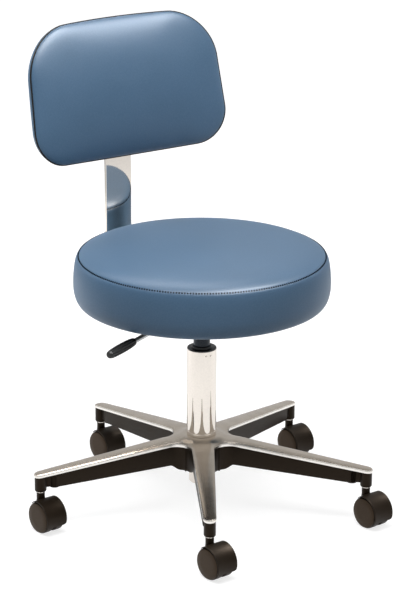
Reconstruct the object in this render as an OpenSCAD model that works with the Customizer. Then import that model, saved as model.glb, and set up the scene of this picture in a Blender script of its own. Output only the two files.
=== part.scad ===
// Clinic stool with a backrest: five twin-wheel casters, an aluminium-capped star base,
// a gas-lift column, a round padded seat and a padded backrest on a flat bar.
// Millimetres, +Z up, floor at zero. The sitter faces -Y, the backrest is on the +Y side.

/* [Place] */
// Column axis from the middle of the footprint, along X
column_x = 6.3; // [-30:0.1:30]
// Column axis from the middle of the footprint, along Y
column_y = -1.4; // [-40:0.1:40]
// Direction of the first base arm seen from above, degrees
base_turn = -120.5; // [-180:0.5:180]
// Direction in which all casters trail, degrees
caster_turn = -83.5; // [-180:0.5:180]

/* [Base] */
// Distance from the column axis to a caster stem
arm_reach = 286; // [260:1:320]
// Width of an arm's cap where it leaves the hub
arm_hub_w = 37; // [30:0.5:42]
// Width of an arm's cap at the caster
arm_tip_w = 21.5; // [20.5:0.5:26]
// Height of the cap's lower edge at the hub
edge_hub_z = 120; // [116:0.5:122]
// Height of the cap's lower edge at the caster
edge_tip_z = 93; // [90:0.5:104]
// Upright rim of the cap
rim_h = 6; // [4:0.5:7]
// Crown of the cap above its rim
crown_h = 4.5; // [2:0.5:5]
// Radius of the fillet between two arms
arm_fillet_r = 26.5; // [18:0.5:32]
// Height of the hub's upper face, on which the tube's shoulder sits
hub_top_z = 131; // [130.5:0.5:134]
// Thickness of the hub's collar round the spigot
collar_wall = 5; // [4:0.5:7]

/* [Base frame] */
// Step from the cap's edge in to the black side wall
side_step = 1.5; // [1:0.25:2.5]
// Thickness of the walls and of the top web
frame_wall = 3; // [2.5:0.25:4]
// Height of the frame's lower edge at the hub
under_hub_z = 86; // [82:0.5:92]
// Height of the frame's lower edge near the caster
under_tip_z = 73; // [71:0.5:76]
// Height of the hub barrel's lower end
barrel_z = 76; // [72:0.5:80]
// Outside diameter of the hub barrel
barrel_d = 62; // [56:1:66]
// Outside diameter of a caster socket
socket_d = 19.7; // [18.5:0.1:20.5]
// Height of the socket's lower end
socket_z = 66.5; // [66:0.5:70]
// Gap between the socket and the round end of the side wall
socket_gap = 6; // [4:0.5:8]
// Diameter of the round end of the side wall
boss_d = 17; // [15:0.5:18]

/* [Column] */
// Outside diameter of the column tube
tube_d = 50; // [48:0.5:52]
// Wall of the tube and of its spigot
tube_wall = 2; // [1.5:0.25:2.5]
// Height of the tube's upper end
tube_top_z = 284.5; // [270:0.5:310]
// Diameter of the spigot that goes through the hub
spigot_d = 42.6; // [40:0.2:44]
// Height of the spigot's closed end
spigot_z = 45; // [40:1:60]
// Thickness of the spigot's end plate
end_plate_h = 3; // [2:0.5:4]
// Length of the guide bush inside the tube
bush_len = 58; // [40:1:60]
// Thickness of the bush's flange on the tube's end
flange_h = 1.6; // [1:0.2:2]
// Height of the bush's collar above its flange
bush_collar_h = 4; // [2:0.5:6]
// Wall of the bush's collar
bush_collar_wall = 2.4; // [1.5:0.1:3]
// Diameter of the two staked dimples
dimple_d = 2.2; // [1.5:0.1:3]
// Depth of a staked dimple
dimple_depth = 0.9; // [0.4:0.1:1.2]
// Drop from the tube's end to a dimple
dimple_drop = 7; // [5:0.5:12]

/* [Gas spring] */
// Outside diameter of the gas cylinder
cylinder_d = 28; // [27:0.5:28]
// Wall of the gas cylinder
cylinder_wall = 2; // [1.5:0.25:2.5]
// Height of the cylinder's lower end at rest
cylinder_z = 82; // [70:1:86]
// Height at which the cylinder's taper starts
taper_z = 322; // [318:0.5:324]
// Length of the taper
taper_len = 28; // [24:0.5:30]
// Diameter at the taper's lower end
taper_d = 26.4; // [25.6:0.2:26.6]
// Diameter at the taper's upper end
taper_top_d = 25; // [24:0.2:25.4]
// Height that the seat can be lifted
lift_travel = 130; // [80:5:130]
// Diameter of the piston rod
rod_d = 10; // [8:0.5:12]
// Thickness of the piston
piston_h = 10; // [6:1:12]
// Length of the gland in the cylinder's lower end
gland_h = 10; // [8:1:12]
// Outside diameter of the thrust bearing
bearing_d = 24; // [20:1:28]
// Height of the thrust bearing
bearing_h = 6; // [4:0.5:8]
// Thickness of the clip under the end plate
clip_h = 1.5; // [1:0.25:2]
// Outside diameter of the clip
clip_d = 18; // [16:0.5:20]
// Depth of the rod's groove for the clip
rod_groove = 1; // [0.5:0.1:1.5]
// Diameter of the rod's shoulder on the thrust bearing
shoulder_d = 20; // [18:0.5:20]
// Diameter of the release pin
pin_d = 7; // [6:0.5:8]

/* [Seat plate] */
// Side of the square plate under the seat
plate_side = 160; // [150:2:180]
// Thickness of the plate and of the channel under it
plate_h = 3; // [2.5:0.25:4]
// Distance between plate bolts
bolt_pitch = 125; // [110:1:130]
// How far the plate's tongue reaches back under the seat, from the column axis
tongue_y = 126; // [122:1:140]
// Width of the channel
channel_w = 60; // [56:1:64]
// Length of the channel
channel_len = 84; // [70:1:90]
// Height of the channel's lower face
channel_z = 326; // [325:0.5:329]
// Wall of the taper socket
taper_wall = 4; // [3:0.5:5]
// Diameter of the plate bolts
bolt_d = 6; // [5:0.5:8]
// Diameter of a bolt's head
head_d = 12; // [10:0.5:14]
// Height of a bolt's head
head_h = 3.5; // [2.5:0.25:5]
// Share of the seat board's thickness that the bolts enter
bolt_grip_share = 0.75; // [0.5:0.05:0.85]

/* [Lever] */
// Direction of the lever seen from above, degrees
lever_turn = -160.5; // [-168:0.5:-152]
// Droop of the lever below level, degrees
lever_droop = 5.1; // [4:0.1:6]
// Height of the lever's axis over the column axis
lever_z = 362; // [361:0.25:362.5]
// Distance from the column axis to the grip's far end
lever_reach = 248; // [230:1:280]
// Diameter of the lever rod
lever_d = 8; // [7:0.5:8]
// Distance from the column axis to the lever's pivot
pivot_r = 42; // [40:0.5:46]
// Diameter of the pivot pin
pivot_d = 4; // [3:0.25:4]
// Thickness of each of the two ears that hold the pivot pin
ear_h = 3; // [2:0.25:4]
// Length of the grip
grip_len = 66; // [50:1:75]
// Diameter of the grip
grip_d = 15; // [12:0.5:17]
// Ribs round the grip
grip_ribs = 12; // [8:1:16]
// Share of the grip's length taken by the swell at each end
grip_swell_share = 0.16; // [0.1:0.01:0.2]
// Share of the grip's length left plain beyond the ribs
rib_end_share = 0.12; // [0.08:0.01:0.2]
// Share of the grip's length that the rod enters
grip_bore_share = 0.75; // [0.5:0.05:0.9]

/* [Seat] */
// Radius of the seat at its widest line
seat_r = 214.2; // [200:0.1:225]
// Height of the seat's lower face
seat_z = 370; // [369.5:0.1:372]
// Height of the widest line above the lower face
wide_h = 30; // [20:0.5:40]
// How far the stitched seam sits in from the widest line
seam_in = 8.3; // [4:0.1:16]
// Height of the stitched seam above the lower face
seam_h = 77; // [65:0.5:85]
// Rise of the crown's flat middle above the seam
crown_rise = 15; // [11:0.5:23]
// Radius of the crown's flat middle
flat_r = 40; // [20:1:60]
// How far the cushion's lower edge sits in from the widest line
bottom_in = 12.2; // [10:0.1:15]
// How far the seat board sits in from the cushion's lower edge
board_in = 6; // [5:0.5:12]
// Thickness of the seat board
board_h = 12; // [9:0.5:15]
// Width of the covering turned under the board
wrap_w = 20; // [14:1:26]
// Thickness of the turned covering
wrap_h = 1.6; // [1:0.2:2]
// Depth of the seam's groove
groove_depth = 1.8; // [1:0.1:2.5]
// Width of the seam's groove
groove_w = 2.4; // [1.5:0.1:3.5]
// Power by which the crown falls away from its flat middle
crown_power = 2.6; // [2:0.1:4]

/* [Back bar] */
// Width of the flat bar
bar_w = 50.8; // [40:0.2:56]
// Thickness of the flat bar
bar_h = 6.4; // [5:0.1:7]
// Distance from the column axis to the middle of the upright leg
bar_y = 266; // [255:0.5:290]
// Inner radius of the lower bend
bend_r = 24; // [15:1:35]
// Where the lower leg ends under the plate, from the column axis
bar_start_y = 46; // [45:0.5:50]
// Bolts in the lower leg, distance of the first from the leg's end
bar_bolt_in = 10; // [8:0.5:12]
// Distance between the bolts in the lower leg
bar_bolt_pitch = 56; // [40:1:60]
// Height at which the bar starts to lean back
lean_z = 605; // [590:1:625]
// Radius of that upper bend
lean_r = 60; // [40:1:90]
// Length of the upper leg above the bend
upper_len = 112; // [90:1:130]
// Height of the lower screw from the backrest's middle, along the leg
low_screw = -17.5; // [-25:0.5:-10]
// Distance between the screws in the upper leg
screw_pitch = 44; // [30:1:60]
// Diameter of the backrest screws
screw_d = 5; // [4:0.5:6]

/* [Backrest] */
// Height of the middle of the backrest
back_z = 679; // [660:0.5:720]
// Recline of the backrest, degrees
recline = 12.5; // [8:0.5:16]
// Half width of the backrest at the top
back_top_half = 184; // [170:0.5:195]
// Half width of the backrest at the bottom
back_low_half = 188; // [170:0.5:195]
// Height between the straight edges
back_h = 224; // [200:1:240]
// Radius of the upper corners
back_top_r = 84; // [60:1:90]
// Radius of the lower corners
back_low_r = 57; // [40:1:70]
// Arch of the upper edge
top_arch = 9; // [0:0.5:14]
// Arch of the lower edge
low_arch = 2.5; // [0:0.5:8]
// Sag of the curve at the side edges, towards the sitter
wrap_sag = 21; // [8:0.5:30]
// Thickness of the front cushion at its middle
front_h = 30; // [20:0.5:40]
// Thickness of the rear shell at its middle
rear_h = 25; // [20:0.5:32]
// Thickness of the welt
welt_h = 3; // [2:0.25:4]
// How far the welt stands proud of the pads
welt_out = 1; // [0.5:0.25:2]
// Thickness of the board inside the backrest
back_board_h = 9; // [6:0.5:12]
// Inset of the board from the backrest's edge
back_board_in = 12; // [9:0.5:20]
// Share of the front cushion's thickness that stands at its rounded edge
front_edge_share = 0.75; // [0.5:0.05:0.9]
// Share of the rear shell's thickness that stands at its rounded edge
rear_edge_share = 0.8; // [0.5:0.05:0.9]
// Share of the half width that the rounded edge takes
edge_in_share = 0.16; // [0.08:0.02:0.24]

/* [Casters] */
// Diameter of a wheel
wheel_d = 54; // [50:1:56]
// Width of a wheel
wheel_w = 15.5; // [13:0.5:16]
// Distance from the stem axis to the wheel axis
trail = 15.5; // [14:0.5:18]
// Overall width of the hood
hood_w = 40; // [39:0.5:46]
// Outside radius of the hood
hood_r = 30.2; // [29.4:0.1:31.2]
// Wall of the hood
hood_wall = 2; // [1.6:0.1:2.4]
// Thickness of the web between the wheels
web_h = 6; // [5:0.5:7]
// Diameter of the hood's neck
neck_d = 14; // [13:0.5:15]
// Diameter of the stem
stem_d = 11; // [10:0.5:11]
// Wall of the steel sleeve that holds a stem in its socket
sleeve_wall = 1.4; // [1:0.1:2]
// Thickness of the sleeve's flange under the socket
sleeve_flange_h = 1.4; // [1:0.1:2]
// Diameter of the wheel axle
axle_d = 6; // [5:0.5:8]
// Share of a wheel's width that the axle enters
axle_in_share = 0.7; // [0.5:0.05:0.8]
// How far the hood comes down in front of the wheels, degrees below the axle
hood_front = 22; // [10:1:30]
// Where the hood ends on the stem's side, degrees above the axle
hood_back = 46; // [36:1:52]

/* [Fits] */
// Running clearance of shafts, on the radius
run_gap = 0.05; // [0.02:0.01:0.08]
// Clearance of pieces that are pushed or bolted together, on the radius
seat_gap = 0.02; // [0.01:0.01:0.05]
// Clearance of a bolt in its hole, on the radius
hole_gap = 0.25; // [0.1:0.05:0.5]
// Clearance round moving faces
free_gap = 0.3; // [0.2:0.05:0.5]

/* [Hidden] */
arm_count = 5;
arm_step = 360 / arm_count;
fine = 96;
small = 48;
// One overrun serves every cut
over = 1;

// Base
tip_r = arm_tip_w / 2;
hub_half = arm_hub_w / 2;
fillet_c = (hub_half + arm_fillet_r) / sin(arm_step / 2);
hub_edge_r = fillet_c * cos(arm_step / 2);
spigot_r = spigot_d / 2;
collar_r = spigot_r + collar_wall;
boss_x = arm_reach - socket_d / 2 - socket_gap - boss_d / 2;

// Column and gas spring
tube_r = tube_d / 2;
cylinder_r = cylinder_d / 2;
plate_z = seat_z - wrap_h / 4 - plate_h;
rod_end_z = spigot_z - clip_h * 3;
rod_top_z = cylinder_z + gland_h + lift_travel + piston_h * 3 / 2;
groove_h = clip_h + run_gap;

// Seat
seam_r = seat_r - seam_in;
bottom_r = seat_r - bottom_in;
board_r = bottom_r - board_in;
wide_z = seat_z + wide_h;
seam_z = seat_z + seam_h;
crown_z = seam_z + crown_rise;

// Lever
lever_slope = tan(lever_droop);
pin_top_z = lever_z - lever_d / 2 - free_gap;

// Back bar and backrest
bar_mid_z = plate_z - bar_h / 2;
bend_mid_r = bend_r + bar_h / 2;
bar_face_m = rear_h + free_gap + bar_h / 2;
upper_y = bar_y + lean_r * (1 - cos(recline));
upper_z = lean_z + lean_r * sin(recline);
back_y = upper_y - (bar_face_m + (upper_z - back_z) * sin(recline)) / cos(recline);

function share(i, n) = i / n;

module at_column() translate([column_x, column_y, 0]) children();
module each_arm() for (i = [0:arm_count - 1]) rotate(base_turn + i * arm_step) children();

// A solid skinned over closed rings of equal length, closed by a flat face at each end
module skin(rings) {
    n = len(rings[0]);
    m = len(rings);
    points = [for (ring = rings) each ring];
    first = [for (i = [1:n - 2]) [0, i + 1, i]];
    last = [for (i = [1:n - 2]) [(m - 1) * n, (m - 1) * n + i, (m - 1) * n + i + 1]];
    polyhedron(points, concat(side_faces(n, m, m - 1), first, last));
}

// Faces between each ring and the next, two triangles to a step
function side_faces(n, m, spans) = [for (j = [0:spans - 1], i = [0:n - 1])
    let (k = (i + 1) % n, a = j * n, b = ((j + 1) % m) * n)
    each [[a + i, a + k, b + i], [a + k, b + k, b + i]]];

// The same with its last ring joined to its first, for a piece that goes all round
module skin_loop(rings) {
    n = len(rings[0]);
    m = len(rings);
    polyhedron([for (ring = rings) each ring], side_faces(n, m, m));
}

// Heights of the cap's lower edge and of its rim, and its half width, at a distance from the column.
// Inside the hub the edge goes on rising and the rim sinks, so that both end inside the hub's own solid.
function along(r) = (r - hub_edge_r) / (arm_reach - hub_edge_r);
function edge_z(r) = edge_hub_z + (edge_tip_z - edge_hub_z) * max(along(r), along(r) / 2);
function rim_z(r) = edge_hub_z + rim_h + (edge_tip_z - edge_hub_z) * max(along(r), -along(r) / 4);
function cap_half(r) = hub_half + (tip_r - hub_half) * along(r);

// Section of the cap across an arm: flat below, upright rims, crowned top
crown_steps = 8;
function cap_section(r, half) = concat(
    [[r, -half, edge_z(r)]],
    [for (i = [0:crown_steps]) let (u = 2 * share(i, crown_steps) - 1)
        [r, half * u, rim_z(r) + crown_h * (1 - u * u)]],
    [[r, half, edge_z(r)]]);

arm_steps = 6;
tip_steps = 6;
tip_last_share = 0.98;
arm_start = collar_r - collar_wall / 2;
cap_stations = concat([arm_start],
    [for (i = [0:arm_steps]) hub_edge_r + (arm_reach - hub_edge_r) * share(i, arm_steps)]);
function cap_rings() = concat(
    [for (r = cap_stations) cap_section(r, cap_half(r))],
    [for (i = [1:tip_steps]) let (a = asin(tip_last_share * sin(90 * share(i, tip_steps))),
        r = arm_reach + tip_r * sin(a)) cap_section(r, tip_r * cos(a))]);

// Plan of the hub between the arms, with a true arc in each corner; its own corners end inside the arms
corner_in = frame_wall / 4;
module hub_plan(step) {
    half = hub_half - step - corner_in;
    far = hub_edge_r - corner_in;
    difference() {
        polygon([for (i = [0:arm_count - 1], s = [-1, 1]) let (a = base_turn + i * arm_step)
            [far * cos(a) - s * half * sin(a), far * sin(a) + s * half * cos(a)]]);
        for (i = [0:arm_count - 1]) rotate(base_turn + (i + 0.5) * arm_step)
            translate([fillet_c, 0]) circle(r = arm_fillet_r + step, $fn = fine);
    }
}

// Polished cap: five crowned arms on a filleted hub with a collar for the tube
module base_cap() {
    color("gainsboro") at_column() difference() {
        union() {
            each_arm() skin(cap_rings());
            translate([0, 0, edge_hub_z]) linear_extrude(rim_h) hub_plan(0);
            rotate_extrude($fn = fine) hub_collar();
        }
        translate([0, 0, edge_tip_z]) cylinder(r = spigot_r + seat_gap, h = hub_top_z, $fn = fine);
    }
}

// Section of the collar: it flares out to the hub's rim and ends below its top
collar_steps = 6;
module hub_collar() {
    low_z = edge_hub_z + rim_h / 2;
    flare = fillet_c - arm_fillet_r - collar_wall / 2 - collar_r;
    drop = hub_top_z - edge_hub_z - rim_h * 3 / 4;
    polygon(concat([[0, low_z], [0, hub_top_z], [collar_r, hub_top_z]],
        [for (i = [1:collar_steps]) let (a = 90 * share(i, collar_steps))
            [collar_r + flare * sin(a), hub_top_z - drop * (1 - cos(a))]],
        [[collar_r + flare, low_z]]));
}

// Black moulded frame: hub barrel, five open-bottomed arms and the caster sockets
rib_shares = [0, 0.3, 0.62, 1];
function under_z(r) =
    under_hub_z + (under_tip_z - under_hub_z) * (r - hub_edge_r) / (boss_x - hub_edge_r);
module side_extrude() rotate([90, 0, 0]) translate([0, 0, -arm_hub_w])
    linear_extrude(2 * arm_hub_w) children();
module arm_plan(from_r, to_r, step) polygon([
    [from_r, step - cap_half(from_r)], [to_r, step - cap_half(to_r)],
    [to_r, cap_half(to_r) - step], [from_r, cap_half(from_r) - step]]);
module under_cap(drop) {
    far = arm_reach + 2 * tip_r;
    side_extrude() polygon([[0, 0], [far, 0], [far, edge_z(far) - drop],
        [hub_edge_r, edge_hub_z - drop], [0, edge_z(0) - drop]]);
}
module arm_pocket(from_r, to_r) intersection() {
    linear_extrude(hub_top_z) arm_plan(from_r, to_r, side_step + frame_wall);
    under_cap(frame_wall);
}
module frame_arm() {
    pocket_r = barrel_d / 2;
    run = boss_x - boss_d / 2 - pocket_r;
    intersection() {
        union() {
            difference() {
                linear_extrude(hub_top_z) arm_plan(0, boss_x, side_step);
                side_extrude() polygon([[-over, -over], [boss_x + over, -over],
                    [boss_x + over, under_z(boss_x + over)], [-over, under_z(-over)]]);
                for (i = [0:len(rib_shares) - 2])
                    arm_pocket(pocket_r + run * rib_shares[i] + frame_wall / 2,
                        pocket_r + run * rib_shares[i + 1] - frame_wall / 2);
            }
            translate([boss_x, 0, under_tip_z - side_step])
                cylinder(d = boss_d, h = hub_top_z, $fn = small);
            translate([boss_x, -boss_d / 4, under_tip_z]) cube([arm_reach - boss_x, boss_d / 2, hub_top_z]);
            translate([arm_reach, 0, socket_z]) cylinder(d = socket_d, h = hub_top_z, $fn = fine);
        }
        under_cap(0);
    }
}
module base_frame() {
    color("#2b2622") at_column() difference() {
        union() {
            each_arm() frame_arm();
            translate([0, 0, under_hub_z]) difference() {
                linear_extrude(edge_hub_z - under_hub_z + over) hub_plan(side_step);
                translate([0, 0, -over]) linear_extrude(edge_hub_z - under_hub_z - frame_wall + over)
                    hub_plan(side_step + frame_wall);
            }
            translate([0, 0, barrel_z])
                cylinder(d = barrel_d, h = edge_hub_z - barrel_z + 2 * over, $fn = fine);
        }
        translate([0, 0, edge_hub_z]) cylinder(r = arm_reach, h = hub_top_z, $fn = fine);
        translate([0, 0, spigot_z]) cylinder(r = spigot_r + seat_gap, h = hub_top_z - spigot_z, $fn = fine);
        each_arm() translate([arm_reach, 0, socket_z - over])
            cylinder(r = sleeve_r + seat_gap, h = sleeve_h + over + seat_gap, $fn = small);
    }
}

// Steel sleeves pressed into the sockets, each with a bright flange under the socket
sleeve_r = stem_d / 2 + run_gap + sleeve_wall;
sleeve_h = edge_tip_z - rim_h - socket_z;
module stem_sleeves() {
    color("silver") at_column() each_arm() translate([arm_reach, 0, socket_z]) difference() {
        union() {
            cylinder(r = sleeve_r, h = sleeve_h, $fn = small);
            translate([0, 0, -sleeve_flange_h]) cylinder(r = neck_d / 2, h = sleeve_flange_h, $fn = small);
        }
        translate([0, 0, -sleeve_flange_h - over]) cylinder(r = stem_d / 2 + run_gap,
            h = sleeve_h + sleeve_flange_h - sleeve_wall + over, $fn = small);
    }
}

// Chrome tube: wide above the hub, necked to a closed spigot below it
dimple_turns = [-106.5, -87.5];
module column_tube() {
    color("whitesmoke") at_column() difference() {
        union() {
            translate([0, 0, hub_top_z]) cylinder(r = tube_r, h = tube_top_z - hub_top_z, $fn = fine);
            translate([0, 0, spigot_z])
                cylinder(r = spigot_r, h = hub_top_z + tube_wall - spigot_z, $fn = fine);
        }
        translate([0, 0, hub_top_z + tube_wall])
            cylinder(r = tube_r - tube_wall, h = tube_top_z - hub_top_z, $fn = fine);
        translate([0, 0, spigot_z + end_plate_h])
            cylinder(r = spigot_r - tube_wall, h = hub_top_z - spigot_z, $fn = fine);
        translate([0, 0, spigot_z - over])
            cylinder(r = rod_d / 2 + run_gap, h = end_plate_h + 2 * over, $fn = small);
        for (turn = dimple_turns) rotate(turn)
            translate([tube_r - dimple_depth, 0, tube_top_z - dimple_drop])
                rotate([0, 90, 0]) cylinder(d = dimple_d, h = tube_wall, $fn = small);
    }
}

// Plastic guide for the gas cylinder, its flange caps the tube
module guide_bush() {
    color("#1c1c1e") at_column() difference() {
        union() {
            translate([0, 0, tube_top_z - bush_len])
                cylinder(r = tube_r - tube_wall - seat_gap, h = bush_len, $fn = fine);
            translate([0, 0, tube_top_z]) cylinder(r = tube_r - tube_wall / 4, h = flange_h, $fn = fine);
            translate([0, 0, tube_top_z + flange_h])
                cylinder(r = cylinder_r + bush_collar_wall, h = bush_collar_h, $fn = fine);
        }
        translate([0, 0, tube_top_z - bush_len - over]) cylinder(r = cylinder_r + run_gap,
            h = bush_len + flange_h + bush_collar_h + 2 * over, $fn = fine);
    }
}

module thrust_bearing() {
    color("darkgray") at_column() translate([0, 0, spigot_z + end_plate_h]) difference() {
        cylinder(d = bearing_d, h = bearing_h, $fn = small);
        translate([0, 0, -over]) cylinder(r = rod_d / 2 + run_gap, h = bearing_h + 2 * over, $fn = small);
    }
}

// Piston rod with the piston on top, a shoulder on the bearing and a groove for the clip
shoulder_z = spigot_z + end_plate_h + bearing_h + seat_gap;
module piston_rod() {
    color("lightgray") at_column() difference() {
        union() {
            translate([0, 0, rod_end_z]) cylinder(d = rod_d, h = rod_top_z - rod_end_z, $fn = small);
            translate([0, 0, shoulder_z]) cylinder(d = shoulder_d, h = clip_h * 2, $fn = small);
            translate([0, 0, rod_top_z - piston_h])
                cylinder(r = cylinder_r - cylinder_wall - run_gap, h = piston_h, $fn = small);
        }
        translate([0, 0, spigot_z - seat_gap - groove_h]) difference() {
            cylinder(r = rod_d, h = groove_h, $fn = small);
            translate([0, 0, -over])
                cylinder(r = rod_d / 2 - rod_groove, h = groove_h + 2 * over, $fn = small);
        }
    }
}

module rod_clip() {
    mouth = rod_d * 2 / 3;
    clip_z = spigot_z - seat_gap - clip_h - run_gap / 2;
    color("dimgray") at_column() translate([0, 0, clip_z]) difference() {
        cylinder(d = clip_d, h = clip_h, $fn = small);
        translate([0, 0, -over])
            cylinder(r = rod_d / 2 - rod_groove + seat_gap, h = clip_h + 2 * over, $fn = small);
        translate([0, -mouth / 2, -over]) cube([clip_d, mouth, clip_h + 2 * over]);
    }
}

// Gas cylinder, tapered at the top, with the bore of the release pin
module gas_cylinder() {
    cap = taper_len / 4;
    color("#202226") at_column() difference() {
        union() {
            translate([0, 0, cylinder_z]) cylinder(r = cylinder_r, h = taper_z - cylinder_z, $fn = fine);
            translate([0, 0, taper_z]) cylinder(d1 = taper_d, d2 = taper_top_d, h = taper_len, $fn = fine);
        }
        translate([0, 0, cylinder_z - over])
            cylinder(r = cylinder_r - cylinder_wall, h = taper_z - cylinder_z - cap + over, $fn = fine);
        translate([0, 0, taper_z - cap - over])
            cylinder(r = pin_d / 2 + run_gap, h = taper_len + cap + 2 * over, $fn = small);
    }
}

module cylinder_gland() {
    color("black") at_column() translate([0, 0, cylinder_z]) difference() {
        cylinder(r = cylinder_r - cylinder_wall - seat_gap, h = gland_h, $fn = small);
        translate([0, 0, -over]) cylinder(r = rod_d / 2 + run_gap, h = gland_h + 2 * over, $fn = small);
    }
}

// Release pin, domed where the lever presses it
module release_pin() {
    dome = pin_d / 8;
    color("goldenrod") at_column() {
        translate([0, 0, taper_z]) cylinder(d = pin_d, h = pin_top_z - dome - taper_z, $fn = small);
        translate([0, 0, pin_top_z - dome]) cylinder(d1 = pin_d, d2 = pin_d / 2, h = dome, $fn = small);
    }
}

// Where the bolts go through the plate, the cover and the board
bar_bolt_ys = [bar_start_y + bar_bolt_in, bar_start_y + bar_bolt_in + bar_bolt_pitch];
module plate_bolt_places() for (x = [-1, 1], y = [-1, 1]) translate([x, y] * bolt_pitch / 2) children();
module bar_bolt_places() for (y = bar_bolt_ys) translate([0, y]) children();
module bolt_holes(z, h) {
    translate([0, 0, z]) {
        plate_bolt_places() cylinder(r = bolt_d / 2 + hole_gap, h = h, $fn = small);
        bar_bolt_places() cylinder(r = bolt_d / 2 + hole_gap, h = h, $fn = small);
    }
}

// Pressed plate with a channel, the taper socket and the lever's two ears
ear_gap = lever_d / 2 + free_gap;
plate_corner = plate_side / 10;
module seat_plate() {
    depth = plate_z - channel_z;
    pivot_z = lever_z - pivot_r * lever_slope;
    ear_round = pivot_d * 3 / 2;
    ear_z = pivot_z - ear_round;
    color("#3a3a3c") at_column() difference() {
        union() {
            translate([0, 0, plate_z]) linear_extrude(plate_h) {
                square([plate_side, plate_side - 2 * plate_corner], center = true);
                square([plate_side - 2 * plate_corner, plate_side], center = true);
                translate([-bar_w / 2, 0]) square([bar_w, tongue_y]);
                for (x = [-1, 1], y = [-1, 1]) translate([x, y] * (plate_side / 2 - plate_corner))
                    circle(r = plate_corner, $fn = small);
            }
            translate([-channel_w / 2, -channel_len / 2, channel_z]) difference() {
                cube([channel_w, channel_len, depth]);
                translate([plate_h, -over, plate_h])
                    cube([channel_w - 2 * plate_h, channel_len + 2 * over, depth]);
            }
            translate([0, 0, channel_z])
                cylinder(r = taper_d / 2 + taper_wall, h = taper_z + taper_len - channel_z, $fn = fine);
            for (y = [-ear_gap - ear_h, ear_gap]) rotate(lever_turn)
                translate([channel_w / 2 - plate_h, y, ear_z])
                    cube([pivot_r + ear_round - channel_w / 2 + plate_h, ear_h, plate_z - ear_z]);
        }
        translate([0, 0, taper_z]) cylinder(r1 = taper_d / 2 + seat_gap, r2 = taper_top_d / 2 + seat_gap,
            h = taper_len, $fn = fine);
        rotate(lever_turn) translate([0, -ear_gap, ear_z - pivot_d])
            cube([pivot_r + arm_hub_w, 2 * ear_gap, plate_z - ear_z + pivot_d]);
        rotate(lever_turn) translate([pivot_r, 0, pivot_z]) rotate([90, 0, 0])
            cylinder(r = pivot_d / 2 + seat_gap, h = 4 * ear_gap, center = true, $fn = small);
        bolt_holes(plate_z - over, plate_h + 2 * over);
    }
}

// Bolts from below into the board: four at the plate's corners
bolt_grip = board_h * bolt_grip_share;
module bolt_up(z) {
    translate([0, 0, z - head_h]) cylinder(d = head_d, h = head_h, $fn = small);
    translate([0, 0, z - over])
        cylinder(d = bolt_d, h = seat_z + wrap_h + bolt_grip - z + over, $fn = small);
}
module plate_bolts() color("silver") at_column() plate_bolt_places() bolt_up(plate_z);
module bar_bolts() color("silver") at_column() bar_bolt_places() bolt_up(plate_z - bar_h);

module seat_board() {
    color("burlywood") at_column() difference() {
        translate([0, 0, seat_z + wrap_h]) cylinder(r = board_r - seat_gap, h = board_h, $fn = fine);
        bolt_holes(seat_z, wrap_h + bolt_grip + over);
    }
}

module dust_cover() {
    color("#222222") at_column() difference() {
        translate([0, 0, plate_z + plate_h])
            cylinder(r = board_r - wrap_w - free_gap, h = seat_z + wrap_h - plate_z - plate_h, $fn = fine);
        bolt_holes(plate_z, plate_h + 2 * wrap_h);
    }
}

// Cushion profile: covering turned under, swelling side, seam groove, crown with a flat middle
side_steps = 8;
crown_rings = 12;
module seat_cushion() {
    lip = groove_w / 2;
    groove_r = seam_r - groove_depth;
    color("steelblue") at_column() rotate_extrude($fn = fine) polygon(concat(
        [[0, seat_z + wrap_h + board_h], [board_r, seat_z + wrap_h + board_h], [board_r, seat_z + wrap_h],
         [board_r - wrap_w, seat_z + wrap_h], [board_r - wrap_w, seat_z]],
        [for (i = [0:side_steps]) let (a = 90 * share(i, side_steps))
            [bottom_r + bottom_in * sin(a), wide_z - wide_h * cos(a)]],
        [for (i = [1:side_steps - 1]) let (a = 90 * share(i, side_steps))
            [seam_r + seam_in * cos(a), wide_z + (seam_h - wide_h) * sin(a)]],
        [[seam_r + lip, seam_z - lip], [groove_r, seam_z - lip], [groove_r, seam_z + lip]],
        [for (i = [1:crown_rings]) let (r = groove_r - (groove_r - flat_r) * share(i, crown_rings),
            s = (r - flat_r) / (seam_r - flat_r)) [r, crown_z - crown_rise * pow(s, crown_power)]],
        [[0, crown_z]]));
}

// Lever frame: X along the rod, away from the column
module lever_frame() {
    at_column() rotate(lever_turn) translate([0, 0, lever_z]) rotate([0, lever_droop, 0]) children();
}
lever_tail = pin_d;
module lever_rod() {
    pivot_x = pivot_r / cos(lever_droop);
    length = lever_reach + lever_tail / 2 - grip_len * (1 - grip_bore_share);
    color("whitesmoke") lever_frame() difference() {
        translate([-lever_tail / 2, 0, 0]) rotate([0, 90, 0])
            cylinder(d = lever_d, h = length, $fn = small);
        translate([pivot_x, 0, 0]) rotate([90, 0, 0])
            cylinder(r = pivot_d / 2 + run_gap, h = 2 * lever_d, center = true, $fn = small);
    }
}
module lever_pin() {
    color("silver") at_column() rotate(lever_turn) translate([pivot_r, 0, lever_z - pivot_r * lever_slope])
        rotate([90, 0, 0]) cylinder(d = pivot_d, h = 2 * (ear_gap + ear_h), center = true, $fn = small);
}

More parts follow.
